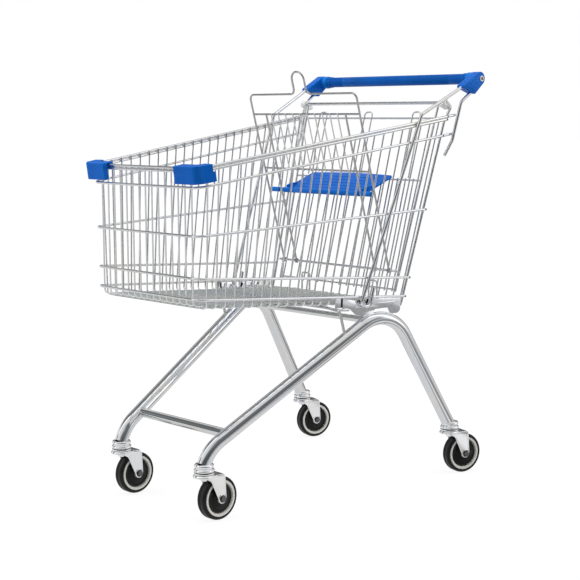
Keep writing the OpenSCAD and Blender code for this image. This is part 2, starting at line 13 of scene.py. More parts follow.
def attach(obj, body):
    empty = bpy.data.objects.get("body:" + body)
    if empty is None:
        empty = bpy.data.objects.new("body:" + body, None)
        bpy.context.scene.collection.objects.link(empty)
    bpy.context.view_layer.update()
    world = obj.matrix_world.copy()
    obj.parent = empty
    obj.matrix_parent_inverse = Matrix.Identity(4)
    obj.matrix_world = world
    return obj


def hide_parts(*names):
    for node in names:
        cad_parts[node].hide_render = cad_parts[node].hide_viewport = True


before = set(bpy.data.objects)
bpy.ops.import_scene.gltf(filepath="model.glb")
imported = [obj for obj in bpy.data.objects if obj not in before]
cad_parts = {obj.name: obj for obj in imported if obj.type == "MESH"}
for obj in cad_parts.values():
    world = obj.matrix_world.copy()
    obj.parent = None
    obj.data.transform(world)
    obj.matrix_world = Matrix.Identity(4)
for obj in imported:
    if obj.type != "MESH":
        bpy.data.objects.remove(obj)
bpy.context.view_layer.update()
random.seed(7)

CART, GATE, SEAT, PLATE = "cart", "moving_gate", "moving_seat_back", "moving_seat_plate"
SIDES = ((1, "right"), (-1, "left"))

# ---------- sizes of the design ----------
# The basket's front plane, its half width there, and how much its sides spread backwards and upwards
FRONT_Y, FRONT_HALF, SPREAD, FLARE, FLARE_Z = 412, 188, 0.088, 0.030, 788
EDGE_FOOT, EDGE_LEAN = 59.5, 0.29
MESH_D, HOOP_D, RIM_D, ROD_D, TUBE_D = 4, 6, 6.5, 8, 32
# How far crossing wires are pressed into each other by their welds
SINK = 0.3
# Heights at the nose and at the side walls' back edge
FLOOR_Z, RIM = (487, 445), (788, 893)
RIM_PITCH = 7
CORNER_R = 24
SIDE_COUNT, FRONT_COUNT = 24, 15
WALL_N = math.sqrt(1 + SPREAD ** 2 + FLARE ** 2)
# Swivel axes of the right casters
FRONT_CASTER, REAR_CASTER = (153, -380), (267, 332)
MIRROR = Matrix.Diagonal((-1, 1, 1, 1))


def vec(x, y, z):
    return Vector((x, y, z))


def mirrored(points):
    return [vec(-p.x, p.y, p.z) for p in points]


def sided(points, side):
    return points if side > 0 else mirrored(points)


def handed(side):
    return Matrix.Identity(4) if side > 0 else MIRROR


def wall_x(y, z):
    """Half width between the wall wires' middles at this length and height."""
    return FRONT_HALF + SPREAD * (y + FRONT_Y) + FLARE * (z - FLARE_Z)


def wall_p(y, z, off=0.0):
    return vec(wall_x(y, z) + off * WALL_N, y, z)


def edge_y(z):
    """The side walls' back edge."""
    return EDGE_FOOT + EDGE_LEAN * z


def between(ends, y):
    """Height at y of a line that has the first height at the nose and the second at the back edge."""
    return ends[0] + (ends[1] - ends[0]) * (y + FRONT_Y) / (edge_y(ends[1]) + FRONT_Y)


def outside(d):
    """Distance from the wall plane to a wire of this diameter welded outside the uprights."""
    return (MESH_D + d) / 2 - SINK


# ---------- mesh building ----------
def arc(cx, cy, r, a0, a1, n):
    steps = [math.radians(a0 + (a1 - a0) * i / n) for i in range(n + 1)]
    return [(cx + r * math.cos(a), cy + r * math.sin(a)) for a in steps]


def bent(points, radii, n=7):
    """The path through points with its inner corners rounded; radii is one radius, or one for each."""
    out = [points[0]]
    if not isinstance(radii, (list, tuple)):
        radii = [radii] * (len(points) - 2)
    for a, b, c, r in zip(points, points[1:], points[2:], radii):
        u, v = (b - a).normalized(), (c - b).normalized()
        angle = u.angle(v)
        if angle < 1e-4:
            continue
        back = r * math.tan(angle / 2)
        inward = (v - u * v.dot(u)).normalized()
        centre = b - u * back + inward * r
        for i in range(n + 1):
            t = angle * i / n
            out.append(centre - inward * r * math.cos(t) + u * r * math.sin(t))
    out.append(points[-1])
    return out


class Part:
    """Collects closed shells into one mesh, then makes the piece."""

    def __init__(self):
        self.verts, self.faces, self.mats = [], [], []

    def add(self, verts, faces, mat=0):
        base = len(self.verts)
        self.verts += [Vector(v) for v in verts]
        self.faces += [[base + i for i in f] for f in faces]
        self.mats += [mat] * len(faces)

    def wire(self, path, d, sides=12, tip=0.5, mat=0, closed=False, wobble=0.0):
        """A round bar along a path, with slightly rounded ends; or a closed ring."""
        r = d / 2
        n = len(path)
        if closed:
            tangents = [(path[(i + 1) % n] - path[i - 1]).normalized() for i in range(n)]
        else:
            tangents = [(path[min(i + 1, n - 1)] - path[max(i - 1, 0)]).normalized() for i in range(n)]
        side = tangents[0].orthogonal().normalized()
        rings, verts, faces = [], [], []
        for i, (p, t) in enumerate(zip(path, tangents)):
            side = (side - t * side.dot(t)).normalized()
            other = t.cross(side)
            grow = 1 + wobble * (random.random() - 0.5)
            rings.append((p, t, side.copy(), other, r * grow))
        if not closed and tip:
            p, t, s, o, q = rings[0]
            rings.insert(0, (p, t, s, o, r - tip))
            rings[1] = (p + t * tip, t, s, o, q)
            p, t, s, o, q = rings[-1]
            rings.append((p, t, s, o, r - tip))
            rings[-2] = (p - t * tip, t, s, o, q)
        for p, t, s, o, q in rings:
            for k in range(sides):
                a = 2 * math.pi * k / sides
                verts.append(p + s * (q * math.cos(a)) + o * (q * math.sin(a)))
        m = len(rings)
        for i in range(m if closed else m - 1):
            j = (i + 1) % m
            for k in range(sides):
                l = (k + 1) % sides
                faces.append([i * sides + k, i * sides + l, j * sides + l, j * sides + k])
        if not closed:
            faces.append([k for k in range(sides)][::-1])
            faces.append([(m - 1) * sides + k for k in range(sides)])
        self.add(verts, faces, mat)

    def lathe(self, profile, place, sides=64, mat=0):
        """A closed outline (radius, height) turned about the local z axis of place."""
        n = len(profile)
        verts, faces = [], []
        for k in range(sides):
            a = 2 * math.pi * k / sides
            for r, h in profile:
                verts.append(place @ vec(r * math.cos(a), r * math.sin(a), h))
        for k in range(sides):
            l = (k + 1) % sides
            for i in range(n):
                j = (i + 1) % n
                if profile[i][0] < 1e-6 and profile[j][0] < 1e-6:
                    continue
                faces.append([k * n + i, l * n + i, l * n + j, k * n + j])
        self.solid(verts, faces, mat)

    def solid(self, verts, faces, mat, bevel=0.0, segments=2, limit=30):
        """Adds a closed shell after welding it, and rounds the edges sharper than limit degrees."""
        bm = bmesh.new()
        made = [bm.verts.new(v) for v in verts]
        for f in faces:
            ring = [made[i] for i in f]
            if len(set(ring)) > 2:
                bm.faces.new(ring)
        bmesh.ops.remove_doubles(bm, verts=bm.verts, dist=1e-4)
        bmesh.ops.recalc_face_normals(bm, faces=bm.faces)
        if bevel:
            sharp = [e for e in bm.edges
                     if len(e.link_faces) == 2 and e.calc_face_angle(0) > math.radians(limit)]
            bmesh.ops.bevel(bm, geom=sharp, offset=bevel, segments=segments, profile=0.6, affect="EDGES",
                            clamp_overlap=True)
        bm.verts.index_update()
        self.add([v.co.copy() for v in bm.verts], [[v.index for v in f.verts] for f in bm.faces], mat)
        bm.free()

    def prism(self, outline, low, high, place, mat=0, bevel=1.0, segments=2):
        """An outline in the local xy plane of place, filled from low to high along its z."""
        n = len(outline)
        verts = [place @ vec(x, y, low) for x, y in outline] + [place @ vec(x, y, high) for x, y in outline]
        faces = [list(range(n))[::-1], list(range(n, 2 * n))]
        faces += [[i, (i + 1) % n, n + (i + 1) % n, n + i] for i in range(n)]
        self.solid(verts, faces, mat, bevel, segments)

    def loft(self, sections, bevel, segments):
        """Sections with the same number of points, joined in order and closed at both ends."""
        n = len(sections[0])
        verts = [p for s in sections for p in s]
        faces = [list(range(n))[::-1], [(len(sections) - 1) * n + i for i in range(n)]]
        for s in range(len(sections) - 1):
            for i in range(n):
                j = (i + 1) % n
                faces.append([s * n + i, s * n + j, (s + 1) * n + j, (s + 1) * n + i])
        self.solid(verts, faces, 0, bevel, segments, 40)

    def make(self, name, mats, body, node, slot):
        """Makes the piece, which rides on a body and stands for one CAD node."""
        me = bpy.data.meshes.new(name)
        me.from_pydata([v / 1000 for v in self.verts], [], self.faces)
        for m in mats:
            me.materials.append(m)
        for poly, m in zip(me.polygons, self.mats):
            poly.use_smooth = True
            poly.material_index = m
        me.update()
        me.set_sharp_from_angle(angle=math.radians(38))
        obj = bpy.data.objects.new(name, me)
        bpy.context.scene.collection.objects.link(obj)
        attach(obj, body)
        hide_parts(node)


def along_x(origin):
    """A placing at origin whose local z runs along X, its local x along Y and its local y along Z."""
    return Matrix.Translation(Vector(origin)) @ Matrix(((0, 0, 1), (1, 0, 0), (0, 1, 0))).to_4x4()


# ---------- materials ----------
def material(name):
    m = bpy.data.materials.new(name)
    m.use_nodes = True
    nodes, links = m.node_tree.nodes, m.node_tree.links
    return m, nodes, links, nodes["Principled BSDF"]


def noise(nodes, links, scale, detail=3.0, stretch=(1, 1, 1)):
    coord = nodes.new("ShaderNodeTexCoord")
    mapping = nodes.new("ShaderNodeMapping")
    mapping.inputs["Scale"].default_value = stretch
    tex = nodes.new("ShaderNodeTexNoise")
    tex.inputs["Scale"].default_value = scale
    tex.inputs["Detail"].default_value = detail
    links.new(coord.outputs["Object"], mapping.inputs["Vector"])
    links.new(mapping.outputs["Vector"], tex.inputs["Vector"])
    return tex.outputs["Fac"]


def ramp(nodes, links, fac, stops):
    r = nodes.new("ShaderNodeValToRGB")
    els = r.color_ramp.elements
    while len(els) < len(stops):
        els.new(0.5)
    for e, (pos, colour) in zip(els, stops):
        e.position = pos
        e.color = tuple(colour) + (1,)
    links.new(fac, r.inputs["Fac"])
    return r.outputs["Color"]


def between_values(nodes, links, fac, low, high, f0=0.3, f1=0.7):
    """Maps fac from f0..f1 to low..high."""
    n = nodes.new("ShaderNodeMapRange")
    for key, v in (("From Min", f0), ("From Max", f1), ("To Min", low), ("To Max", high)):
        n.inputs[key].default_value = v
    links.new(fac, n.inputs["Value"])
    return n.outputs["Result"]


def bump(nodes, links, heights, bsdf):
    """heights: (fac, distance in metres, strength) from coarse to fine."""
    last = None
    for fac, distance, strength in heights:
        b = nodes.new("ShaderNodeBump")
        b.inputs["Distance"].default_value = distance
        b.inputs["Strength"].default_value = strength
        links.new(fac, b.inputs["Height"])
        if last:
            links.new(last, b.inputs["Normal"])
        last = b.outputs["Normal"]
    links.new(last, bsdf.inputs["Normal"])


def edge_mask(nodes, links, low=0.52, high=0.60):
    """1 on a piece's raised edges."""
    geo = nodes.new("ShaderNodeNewGeometry")
    return between_values(nodes, links, geo.outputs["Pointiness"], 0, 1, low, high)


def mix(nodes, links, fac, a, b):
    n = nodes.new("ShaderNodeMix")
    n.data_type = "RGBA"
    for key, v in ((0, fac), (6, a), (7, b)):
        if isinstance(v, (int, float)):
            n.inputs[key].default_value = v
        elif isinstance(v, tuple):
            n.inputs[key].default_value = v + (1,)
        else:
            links.new(v, n.inputs[key])
    return n.outputs[2]


def plated(name, tone, rough, cloud, grain, cast=(1.0, 1.0, 1.0)):
    """Zinc plating: cloudy brightness, slight blue and straw tints, fine drawing marks."""
    m, nodes, links, bsdf = material(name)
    big = noise(nodes, links, 7, 4)
    small = noise(nodes, links, 90, 5)
    tints = ((0.25, (0.95, 0.98, 1.04)), (0.55, (1.0, 1.0, 1.0)), (0.8, (1.02, 1.0, 0.95)))
    tint = ramp(nodes, links, big, [(at, [tone * c * k for c, k in zip(hue, cast)]) for at, hue in tints])
    spots = between_values(nodes, links, small, 1 - cloud, 1.0, 0.3, 0.65)
    shade = nodes.new("ShaderNodeMix")
    shade.data_type = "RGBA"
    shade.blend_type = "MULTIPLY"
    shade.inputs[0].default_value = 1.0
    links.new(tint, shade.inputs[6])
    links.new(spots, shade.inputs[7])
    links.new(shade.outputs[2], bsdf.inputs["Base Color"])
    bsdf.inputs["Metallic"].default_value = 1.0
    links.new(between_values(nodes, links, small, rough * 0.75, rough * 1.35), bsdf.inputs["Roughness"])
    bump(nodes, links, [(big, 0.0006, 0.12), (noise(nodes, links, 900, 2), 0.00005, grain)], bsdf)
    return m


def moulded(name, colour, rough, edge, grain=0.25, shine=0.5, subsurface=0.0):
    """Moulded plastic: fine grained skin, faint flow marks, edges paler as rubbing wear and painted
    highlight.
    """
    m, nodes, links, bsdf = material(name)
    big = noise(nodes, links, 12, 3)
    flow = noise(nodes, links, 35, 4, (0.4, 1, 1))
    dark = tuple(c * 0.86 for c in colour)
    lite = tuple(min(1, c * 1.08 + 0.002) for c in colour)
    body = ramp(nodes, links, big, [(0.3, dark), (0.7, lite)])
    # edges paler: partly rubbing wear, partly painted highlight
    paled_edges = mix(nodes, links, edge_mask(nodes, links), body, edge)
    links.new(paled_edges, bsdf.inputs["Base Color"])
    links.new(between_values(nodes, links, flow, rough * 0.8, rough * 1.25), bsdf.inputs["Roughness"])
    bsdf.inputs["Specular IOR Level"].default_value = shine
    if subsurface:
        bsdf.inputs["Subsurface Weight"].default_value = subsurface
        bsdf.inputs["Subsurface Radius"].default_value = (0.006, 0.006, 0.006)
    bump(nodes, links, [(flow, 0.0004, 0.10), (noise(nodes, links, 1500, 2), 0.00006, grain)], bsdf)
    return m


def rubber(name):
    """Tyre rubber: almost black, dusty on the raised parts, fine pitted skin."""
    m, nodes, links, bsdf = material(name)
    dust = noise(nodes, links, 60, 6)
    body = ramp(nodes, links, dust, [(0.35, (0.005, 0.005, 0.0055)), (0.75, (0.014, 0.0135, 0.014))])
    paled_edges = mix(nodes, links, edge_mask(nodes, links, 0.53, 0.65), body, (0.03, 0.029, 0.028))
    links.new(paled_edges, bsdf.inputs["Base Color"])
    links.new(between_values(nodes, links, dust, 0.32, 0.5), bsdf.inputs["Roughness"])
    bsdf.inputs["Specular IOR Level"].default_value = 0.25
    bump(nodes, links, [(noise(nodes, links, 700, 3), 0.0001, 0.3)], bsdf)
    return m


WIRE = plated("bright_wire", 0.88, 0.15, 0.06, 0.06)
FLOOR_WIRE = plated("floor_wire", 0.62, 0.24, 0.14, 0.12, (0.95, 1.0, 0.96))
# the same zinc plating made darker for the struts and seat frame: painted shade for dark reflections
DARKENED_WIRE = plated("wire_darkened_as_shade", 0.56, 0.18, 0.10, 0.08)
TUBE = plated("plated_tube", 0.82, 0.05, 0.05, 0.03)
SHEET = plated("plated_sheet", 0.98, 0.18, 0.04, 0.06)
# dark steel for the axle bolts, also painted shadow on the hoops' end marks
DARK_STEEL_AND_SHADOW = plated("dark_steel_and_painted_shadow", 0.16, 0.32, 0.25, 0.2)
BRASS = plated("aged_brass", 0.34, 0.38, 0.25, 0.2, (1.0, 0.62, 0.34))
BLUE = moulded("blue_plastic", (0.0, 0.122, 0.56), 0.34, (0.01, 0.20, 0.70), 0.22, 0.10)
GRIP = moulded("blue_grip", (0.0, 0.085, 0.39), 0.36, (0.01, 0.15, 0.52), 0.22, 0.08)
CLIP = moulded("clip_plastic", (0.92, 0.93, 0.90), 0.38, (0.88, 0.88, 0.86), 0.15, 0.4, 0.25)
RIMRING = moulded("wheel_plastic", (0.74, 0.72, 0.66), 0.42, (0.82, 0.81, 0.77), 0.2)
# black guard plastic, also used as painted shade in the plates' slot and notch and in the casters' swivel gap
BLACK_GUARD_AND_SHADE = moulded("guard_plastic", (0.004, 0.0035, 0.005), 0.28, (0.03, 0.03, 0.034), 0.25, 0.22)
TYRE = rubber("tyre_rubber")


# ---------- base ----------
SLOPE = (REAR_CASTER[0] - FRONT_CASTER[0]) / (REAR_CASTER[1] - FRONT_CASTER[1])


def tube_p(y, z):
    """A point of the upright plane that holds the right side tube."""
    return vec(FRONT_CASTER[0] + SLOPE * (y - FRONT_CASTER[1]), y, z)


TUBE_BEND_R = 95
tube_path = [tube_p(-381, 131), tube_p(-364, 166), tube_p(139, 450), tube_p(327, 131)]
RISE = (450 - 166) / (139 + 364)


def run_p(y):
    """A point of the side tube's long straight run."""
    return tube_p(y, 166 + RISE * (y + 364))


def weld_ring(part, end, axis, r, hub, hub_dir, hub_r):
    """A weld bead where a bar of radius r, coming from end along axis, meets a tube."""
    a = axis.normalized()
    s = a.orthogonal().normalized()
    o = a.cross(s)
    h = hub_dir.normalized()
    ring = []
    for k in range(28):
        t = 2 * math.pi * k / 28
        q = end + s * (r + 0.3) * math.cos(t) + o * (r + 0.3) * math.sin(t)
        w = q - hub
        w_flat, a_flat = w - h * w.dot(h), a - h * a.dot(h)
        aa, bb, cc = a_flat.dot(a_flat), 2 * a_flat.dot(w_flat), w_flat.dot(w_flat) - hub_r ** 2
        disc = bb * bb - 4 * aa * cc
        step = (-bb - math.sqrt(max(disc, 0))) / (2 * aa)
        ring.append(q + a * (step + random.uniform(-0.2, 0.2)))
    part.wire(ring, 2.6, 7, closed=True, wobble=0.25)


for side, name in SIDES:
    p = Part()
    p.wire(bent(sided(tube_path, side), TUBE_BEND_R, 22), TUBE_D, 40)
    p.make("leg_tube_" + name, [TUBE], CART, "side_tube_" + name, "zinc_frame")

FRONT_BAR_Y, FRONT_BAR_D = -317, 22
p = Part()
end = run_p(FRONT_BAR_Y)
p.wire([vec(-end.x, end.y, end.z), end], FRONT_BAR_D, 32)
for s in (1, -1):
    hub = vec(s * end.x, end.y, end.z)
    run = run_p(0) - run_p(FRONT_BAR_Y)
    weld_ring(p, vec(0, end.y, end.z), vec(s, 0, 0), FRONT_BAR_D / 2, hub, vec(s * run.x, run.y, run.z),
              TUBE_D / 2)
p.make("front_bar", [TUBE], CART, "front_cross_tube", "zinc_frame")

p = Part()
end = tube_p(94, 411)
p.wire([vec(-end.x + 4, end.y, end.z), vec(end.x - 4, end.y, end.z)], 16, 24)
p.make("upper_bar", [TUBE], CART, "upper_cross_bar", "zinc_frame")

STRUT_Y, STRUT_D = -46, 7
p = Part()
top_z = between(FLOOR_Z, STRUT_Y) - (STRUT_D + MESH_D) / 2
strut_x = tube_p(STRUT_Y, top_z).x
path = [vec(110, STRUT_Y, top_z), vec(strut_x, STRUT_Y, top_z), tube_p(-9, 444), run_p(7) + vec(0, 0, 6)]
for pts in (path, mirrored(path)):
    p.wire(bent(pts, [8, 15], 10), STRUT_D, 14)
p.make("struts", [DARKENED_WIRE], CART, "support_struts", "zinc_frame")

# Side plates lie just outside the wall wires: wu along the wall, wv up it and ww out of it
wu = vec(SPREAD, 1, 0).normalized()
ww = vec(1, -SPREAD, -FLARE).normalized()
wv = ww.cross(wu)


def plate_place(side, off):
    o = wall_p(0, 0, off)
    m = Matrix(((wu.x, wv.x, ww.x, o.x), (wu.y, wv.y, ww.y, o.y), (wu.z, wv.z, ww.z, o.z), (0, 0, 0, 1)))
    return handed(side) @ m


def wall_uv(y, z):
    q = wall_p(y, z) - wall_p(0, 0)
    return (q.dot(wu), q.dot(wv))


BOTTOM = (507, 463)


def plate_top(y):
    """The plates' top edge, just below the bottom hoop."""
    return between(BOTTOM, y) - HOOP_D / 2 - 0.3


# The plate's lowest edge, the top of the window in it, and the notch for the handle rod's hook
FOOT, WINDOW = 424, 440
NOTCH_Y, NOTCH_Z = 60, plate_top(60) - 1
notch = [(NOTCH_Y + 16 * math.cos(math.radians(t)), NOTCH_Z + 17 * math.sin(math.radians(t)))
         for t in range(-8, -173, -12)]
outline = [(-5, plate_top(-5)), (-5, 448), (19, 446), (34, 433), (56, FOOT), (81, FOOT)]
outline += arc(99, WINDOW - 4, 4, 150, 90, 3) + arc(136, WINDOW - 4, 4, 90, 30, 3) + [(147, FOOT)]
outline += arc(168, FOOT + 12, 12, -90, 0, 7) + [(180, plate_top(180))]
outline += [(y, z) for y, z in notch if z < plate_top(y) - 0.5]
for side, name in SIDES:
    p = Part()

    def sheet(points, low, high, bevel=0.7, mat=0):
        flat = [wall_uv(y, z) for y, z in points]
        p.prism(flat if side > 0 else flat[::-1], low, high, plate_place(side, MESH_D / 2 + 0.1), mat, bevel)

    sheet(outline, 0, 3)
    # a lug ahead of the plate leaves a narrow slot; a folded foot and a pressed rib stiffen the plate
    sheet([(-27, 452), (-11, 452), (-11, 478.5), (-27, 480)], 0, 3)
    sheet([(-22, 446), (12, 443.5), (12, 449), (-22, 451)], 0, 8)
    sheet([(20, 456), (40, 456), (40, 459), (20, 459)], 2.6, 4.4, 0.8)
    sheet([(88, 452), (168, 451), (168, 454), (88, 455)], 2.6, 4.4, 0.8)
    # dark strip in the slot and dark lining in the notch for the rod's hook: painted shade for the shadow
    # inside them
    sheet([(-11.2, 453), (-4.8, 453), (-4.8, 478), (-11.2, 478)], 0.6, 2.8, 0.3, 1)
    for a0, a1 in ((-172, -128), (-52, -8)):
        ring = arc(NOTCH_Y, NOTCH_Z, 17.2, a0, a1, 8) + arc(NOTCH_Y, NOTCH_Z, 12.0, a1, a0, 8)
        sheet([q for q in ring if q[1] < plate_top(NOTCH_Y) - 0.6], 0.4, 2.7, 0.3, 1)
    p.make("plate_" + name, [SHEET, BLACK_GUARD_AND_SHADE], CART, "side_plate_" + name, "zinc_frame")

# ---------- basket ----------
def hoop_path(ends, d, past):
    """The U of a hoop round the nose, running past the side walls' back edge."""
    off = outside(d)
    nose_y, tail_y = -FRONT_Y - off, edge_y(ends[1]) + past
    nose, tail = wall_p(nose_y, between(ends, nose_y), off), wall_p(tail_y, between(ends, tail_y), off)
    return [tail, nose] + mirrored([nose, tail])


FIRST_UPRIGHT = -390


def side_low(i):
    """Where the side wall's upright i meets the floor."""
    return FIRST_UPRIGHT + (edge_y(FLOOR_Z[1]) + FRONT_Y - 31) / (SIDE_COUNT - 1) * i


def side_high(i):
    """Where the side wall's upright i meets the rim."""
    return FIRST_UPRIGHT + (edge_y(RIM[1]) + FRONT_Y - 42) / (SIDE_COUNT - 1) * i


def front_x(i):
    return 162 * (i / 7 - 1)


def weld_dots(part, ends):
    """Flattened fusion beads where a hoop crosses the uprights."""
    touch = MESH_D / 2 - 0.2
    spots = []
    for i in range(SIDE_COUNT):
        y0, y1 = side_low(i), side_high(i)
        z0, z1 = between(FLOOR_Z, y0), between(RIM, y1)
        t = 0.5
        for _ in range(4):
            y = y0 + (y1 - y0) * t
            t = (between(ends, y) - z0) / (z1 - z0)
        y = y0 + (y1 - y0) * t
        q = wall_p(y, between(ends, y), touch)
        spots += [q, vec(-q.x, q.y, q.z)]
    for i in range(FRONT_COUNT):
        spots.append(vec(front_x(i), -FRONT_Y - touch, between(ends, -FRONT_Y)))
    for q in spots:
        part.lathe([(0.0, -2.6), (1.3, -1.9), (1.9, 0), (1.3, 1.9), (0.0, 2.6)], Matrix.Translation(q), 7)


def end_shadow_marks(part, ends, d):
    """Small weld beads on the outside of a hoop, at the rear post and the handle's front rod, dark as painted
    shadow.
    """
    for line in (lambda z: edge_y(z) - 1, lambda z: 42 + (z - 451) * 0.404):
        y = 150
        for _ in range(8):
            y = line(between(ends, y))
        q = wall_p(y, between(ends, y), outside(d) + d / 2 - 0.9)
        for v in (q, vec(-q.x, q.y, q.z)):
            part.lathe([(0, -2.6), (1.5, -2.1), (2.4, 0), (1.5, 2.1), (0, 2.6)], Matrix.Translation(v), 9, 1)


# each hoop's heights at nose and back edge, and how far it runs past the back edge
hoops = [("hoop_upper", (750, 850), 34), ("hoop_middle", (645, 672), 3.5), ("hoop_lower", (553, 508), 3.5),
         ("hoop_bottom", BOTTOM, 3.5)]
for node, ends, past in hoops:
    p = Part()
    p.wire(bent(hoop_path(ends, HOOP_D, past), CORNER_R, 12), HOOP_D, 14)
    weld_dots(p, ends)
    end_shadow_marks(p, ends, HOOP_D)
    p.make(node + "_wire", [WIRE, DARK_STEEL_AND_SHADOW], CART, node, "bright_wire")

p = Part()
for dz, past in ((RIM_PITCH / 2, 26), (-RIM_PITCH / 2, 3.5)):
    ends = (RIM[0] + dz, RIM[1] + dz)
    p.wire(bent(hoop_path(ends, RIM_D, past), CORNER_R, 14), RIM_D, 16)
    end_shadow_marks(p, ends, RIM_D)
# butt joint of the upper rim wire on the right side
upper_rim = (RIM[0] + RIM_PITCH / 2, RIM[1] + RIM_PITCH / 2)
q = wall_p(-152, between(upper_rim, -152), outside(RIM_D))
step = wall_p(-142, between(upper_rim, -142), outside(RIM_D)) - q
p.wire([q, q + step * 0.3, q + step * 0.7, q + step], RIM_D + 0.7, 16, 0.3, wobble=0.06)
p.make("rim_wires", [WIRE, DARK_STEEL_AND_SHADOW], CART, "top_rim", "bright_wire")

MESH_BEND_R = 12
for side, name in SIDES:
    p = Part()
    for i in range(SIDE_COUNT):
        y0, y1 = side_low(i), side_high(i)
        corner = wall_p(y0, between(FLOOR_Z, y0))
        path = [wall_p(y1, between(RIM, y1) + RIM_PITCH / 2 + 1), corner, corner - vec(26.5, 0, 0)]
        p.wire(bent(sided(path, side), MESH_BEND_R, 7), MESH_D, 12)
    p.make("side_wires_" + name, [WIRE], CART, "side_mesh_" + name, "bright_wire")

p = Part()
turned_in = -FRONT_Y + 26.5
for i in range(FRONT_COUNT):
    x = front_x(i)
    path = [vec(x, -FRONT_Y, RIM[0] + RIM_PITCH / 2 + 1),
            vec(x, -FRONT_Y, between(FLOOR_Z, -FRONT_Y) + MESH_D),
            vec(x, turned_in, between(FLOOR_Z, turned_in) + MESH_D)]
    p.wire(bent(path, MESH_BEND_R, 7), MESH_D, 12)
p.make("front_wires", [WIRE], CART, "front_mesh", "bright_wire")

p = Part()
tail = edge_y(FLOOR_Z[1]) - 1
head = -FRONT_Y + 26
for i in range(SIDE_COUNT):
    e = wall_p(side_low(i), between(FLOOR_Z, side_low(i))) - vec(26, 0, 0)
    p.wire([vec(-e.x, e.y, e.z), e], MESH_D, 12, 0)
for i in range(FRONT_COUNT):
    ends = [vec(front_x(i), y, between(FLOOR_Z, y) + MESH_D - SINK) for y in (head, tail)]
    p.wire(ends, MESH_D, 12, 0.4)
p.make("floor_wires", [FLOOR_WIRE], CART, "floor_mesh", "bright_wire")

# Bar under the floor's back edge, with two wire loops bent up from it
GATE_TOP = vec(0, 324, 930)
TILT = math.radians(16)
# The gate's stop wire, measured down the gate, and the loops that it meets
stop_s = -472
stop_z = GATE_TOP.z + stop_s * math.cos(TILT)
stop_y = GATE_TOP.y + stop_s * math.sin(TILT) + 7.02 / math.cos(TILT) + 2.5 / math.cos(TILT) + 0.6
bar_y = edge_y(FLOOR_Z[1]) + 4
bar_z = between(FLOOR_Z, bar_y) - 1.5
bar_end = wall_x(bar_y, bar_z) - 5
p = Part()
p.wire([vec(-bar_end, bar_y, bar_z), vec(bar_end, bar_y, bar_z)], 7, 14, 1.2)
for x0 in (120, -120):
    top = stop_z + 14
    path = [vec(x0 - 14, bar_y, bar_z), vec(x0 - 14, stop_y, bar_z), vec(x0 - 14, stop_y, top),
            vec(x0 + 14, stop_y, top), vec(x0 + 14, stop_y, bar_z), vec(x0 + 14, bar_y, bar_z)]
    p.wire(bent(path, 6, 7), 5, 12)
p.make("floor_end", [WIRE], CART, "floor_end_bar", "zinc_frame")

POST_D, POST_TOP = 6.5, (338, 921)
post_off = (MESH_D - POST_D) / 2
for side, name in SIDES:
    p = Part()
    path = [wall_p(edge_y(z) - 1, z, post_off) for z in (447, 885)]
    path += [wall_p(*POST_TOP, post_off), vec(237, *POST_TOP)]
    p.wire(bent(sided(path, side), 6, 9), POST_D, 16, 1.0)
    foot = [wall_p(edge_y(447) - 1, 449, post_off), wall_p(edge_y(441) - 2, 441, post_off),
            wall_p(edge_y(441) - 11, 437.5, post_off)]
    p.wire(bent(sided(foot, side), 4, 6), POST_D - 0.6, 14, 1.6)
    p.make("post_" + name, [WIRE], CART, "rear_post_" + name, "bright_wire")

# ---------- handle ----------
ROD_OFF = (MESH_D + RIM_D) / 2 + (RIM_D + ROD_D) / 2 + 0.04
HANDLE = vec(0, 419, 989)


def rod_p(y, z):
    return wall_p(y, z, ROD_OFF)


front_rod = [rod_p(84, 494), rod_p(74, 451), rod_p(42, 451), rod_p(224, 901.5), rod_p(395, 987)]
rear_rod = [rod_p(304.5, 801), rod_p(330, 838), rod_p(356.5, 932), rod_p(408, 969.5)]
for side, name in SIDES:
    for label, path, r in (("front", front_rod, 11), ("rear", rear_rod, 18)):
        p = Part()
        p.wire(bent(sided(path, side), r, 14), ROD_D, 18, 1.0)
        p.make(f"{label}_rod_{name}", [WIRE], CART, f"handle_{label}_rod_{name}", "bright_wire")

HANDLE_BORE = 10.05
p = Part()
p.lathe([(8.5, -277), (10, -275.5), (10, 275.5), (8.5, 277)], along_x(HANDLE), 32)
p.make("handle_core", [TUBE], CART, "handle_tube", "bright_wire")

SLEEVE_R, SLEEVE_HALF = 13.2, 244
p = Part()
# half of the sleeve's outline, from its thick end to a groove: radius, distance from the sleeve's end
sleeve_end = [(HANDLE_BORE, 0), (SLEEVE_R + 1.2, 0), (SLEEVE_R + 1.4, 1), (SLEEVE_R + 1.4, 12),
              (SLEEVE_R + 0.8, 14), (SLEEVE_R, 14.6)]
profile = [(r, -SLEEVE_HALF + inset) for r, inset in sleeve_end]
for k in (-186, 186):
    profile += [(SLEEVE_R, k - 2.2), (SLEEVE_R - 0.4, k - 1.2)]
    profile += [(SLEEVE_R - 0.4, k + 1.2), (SLEEVE_R, k + 2.2)]
profile += [(r, SLEEVE_HALF - inset) for r, inset in sleeve_end[::-1]]
p.lathe(profile, along_x(HANDLE), 48)
p.make("grip", [GRIP], CART, "handle_sleeve", "blue_plastic")

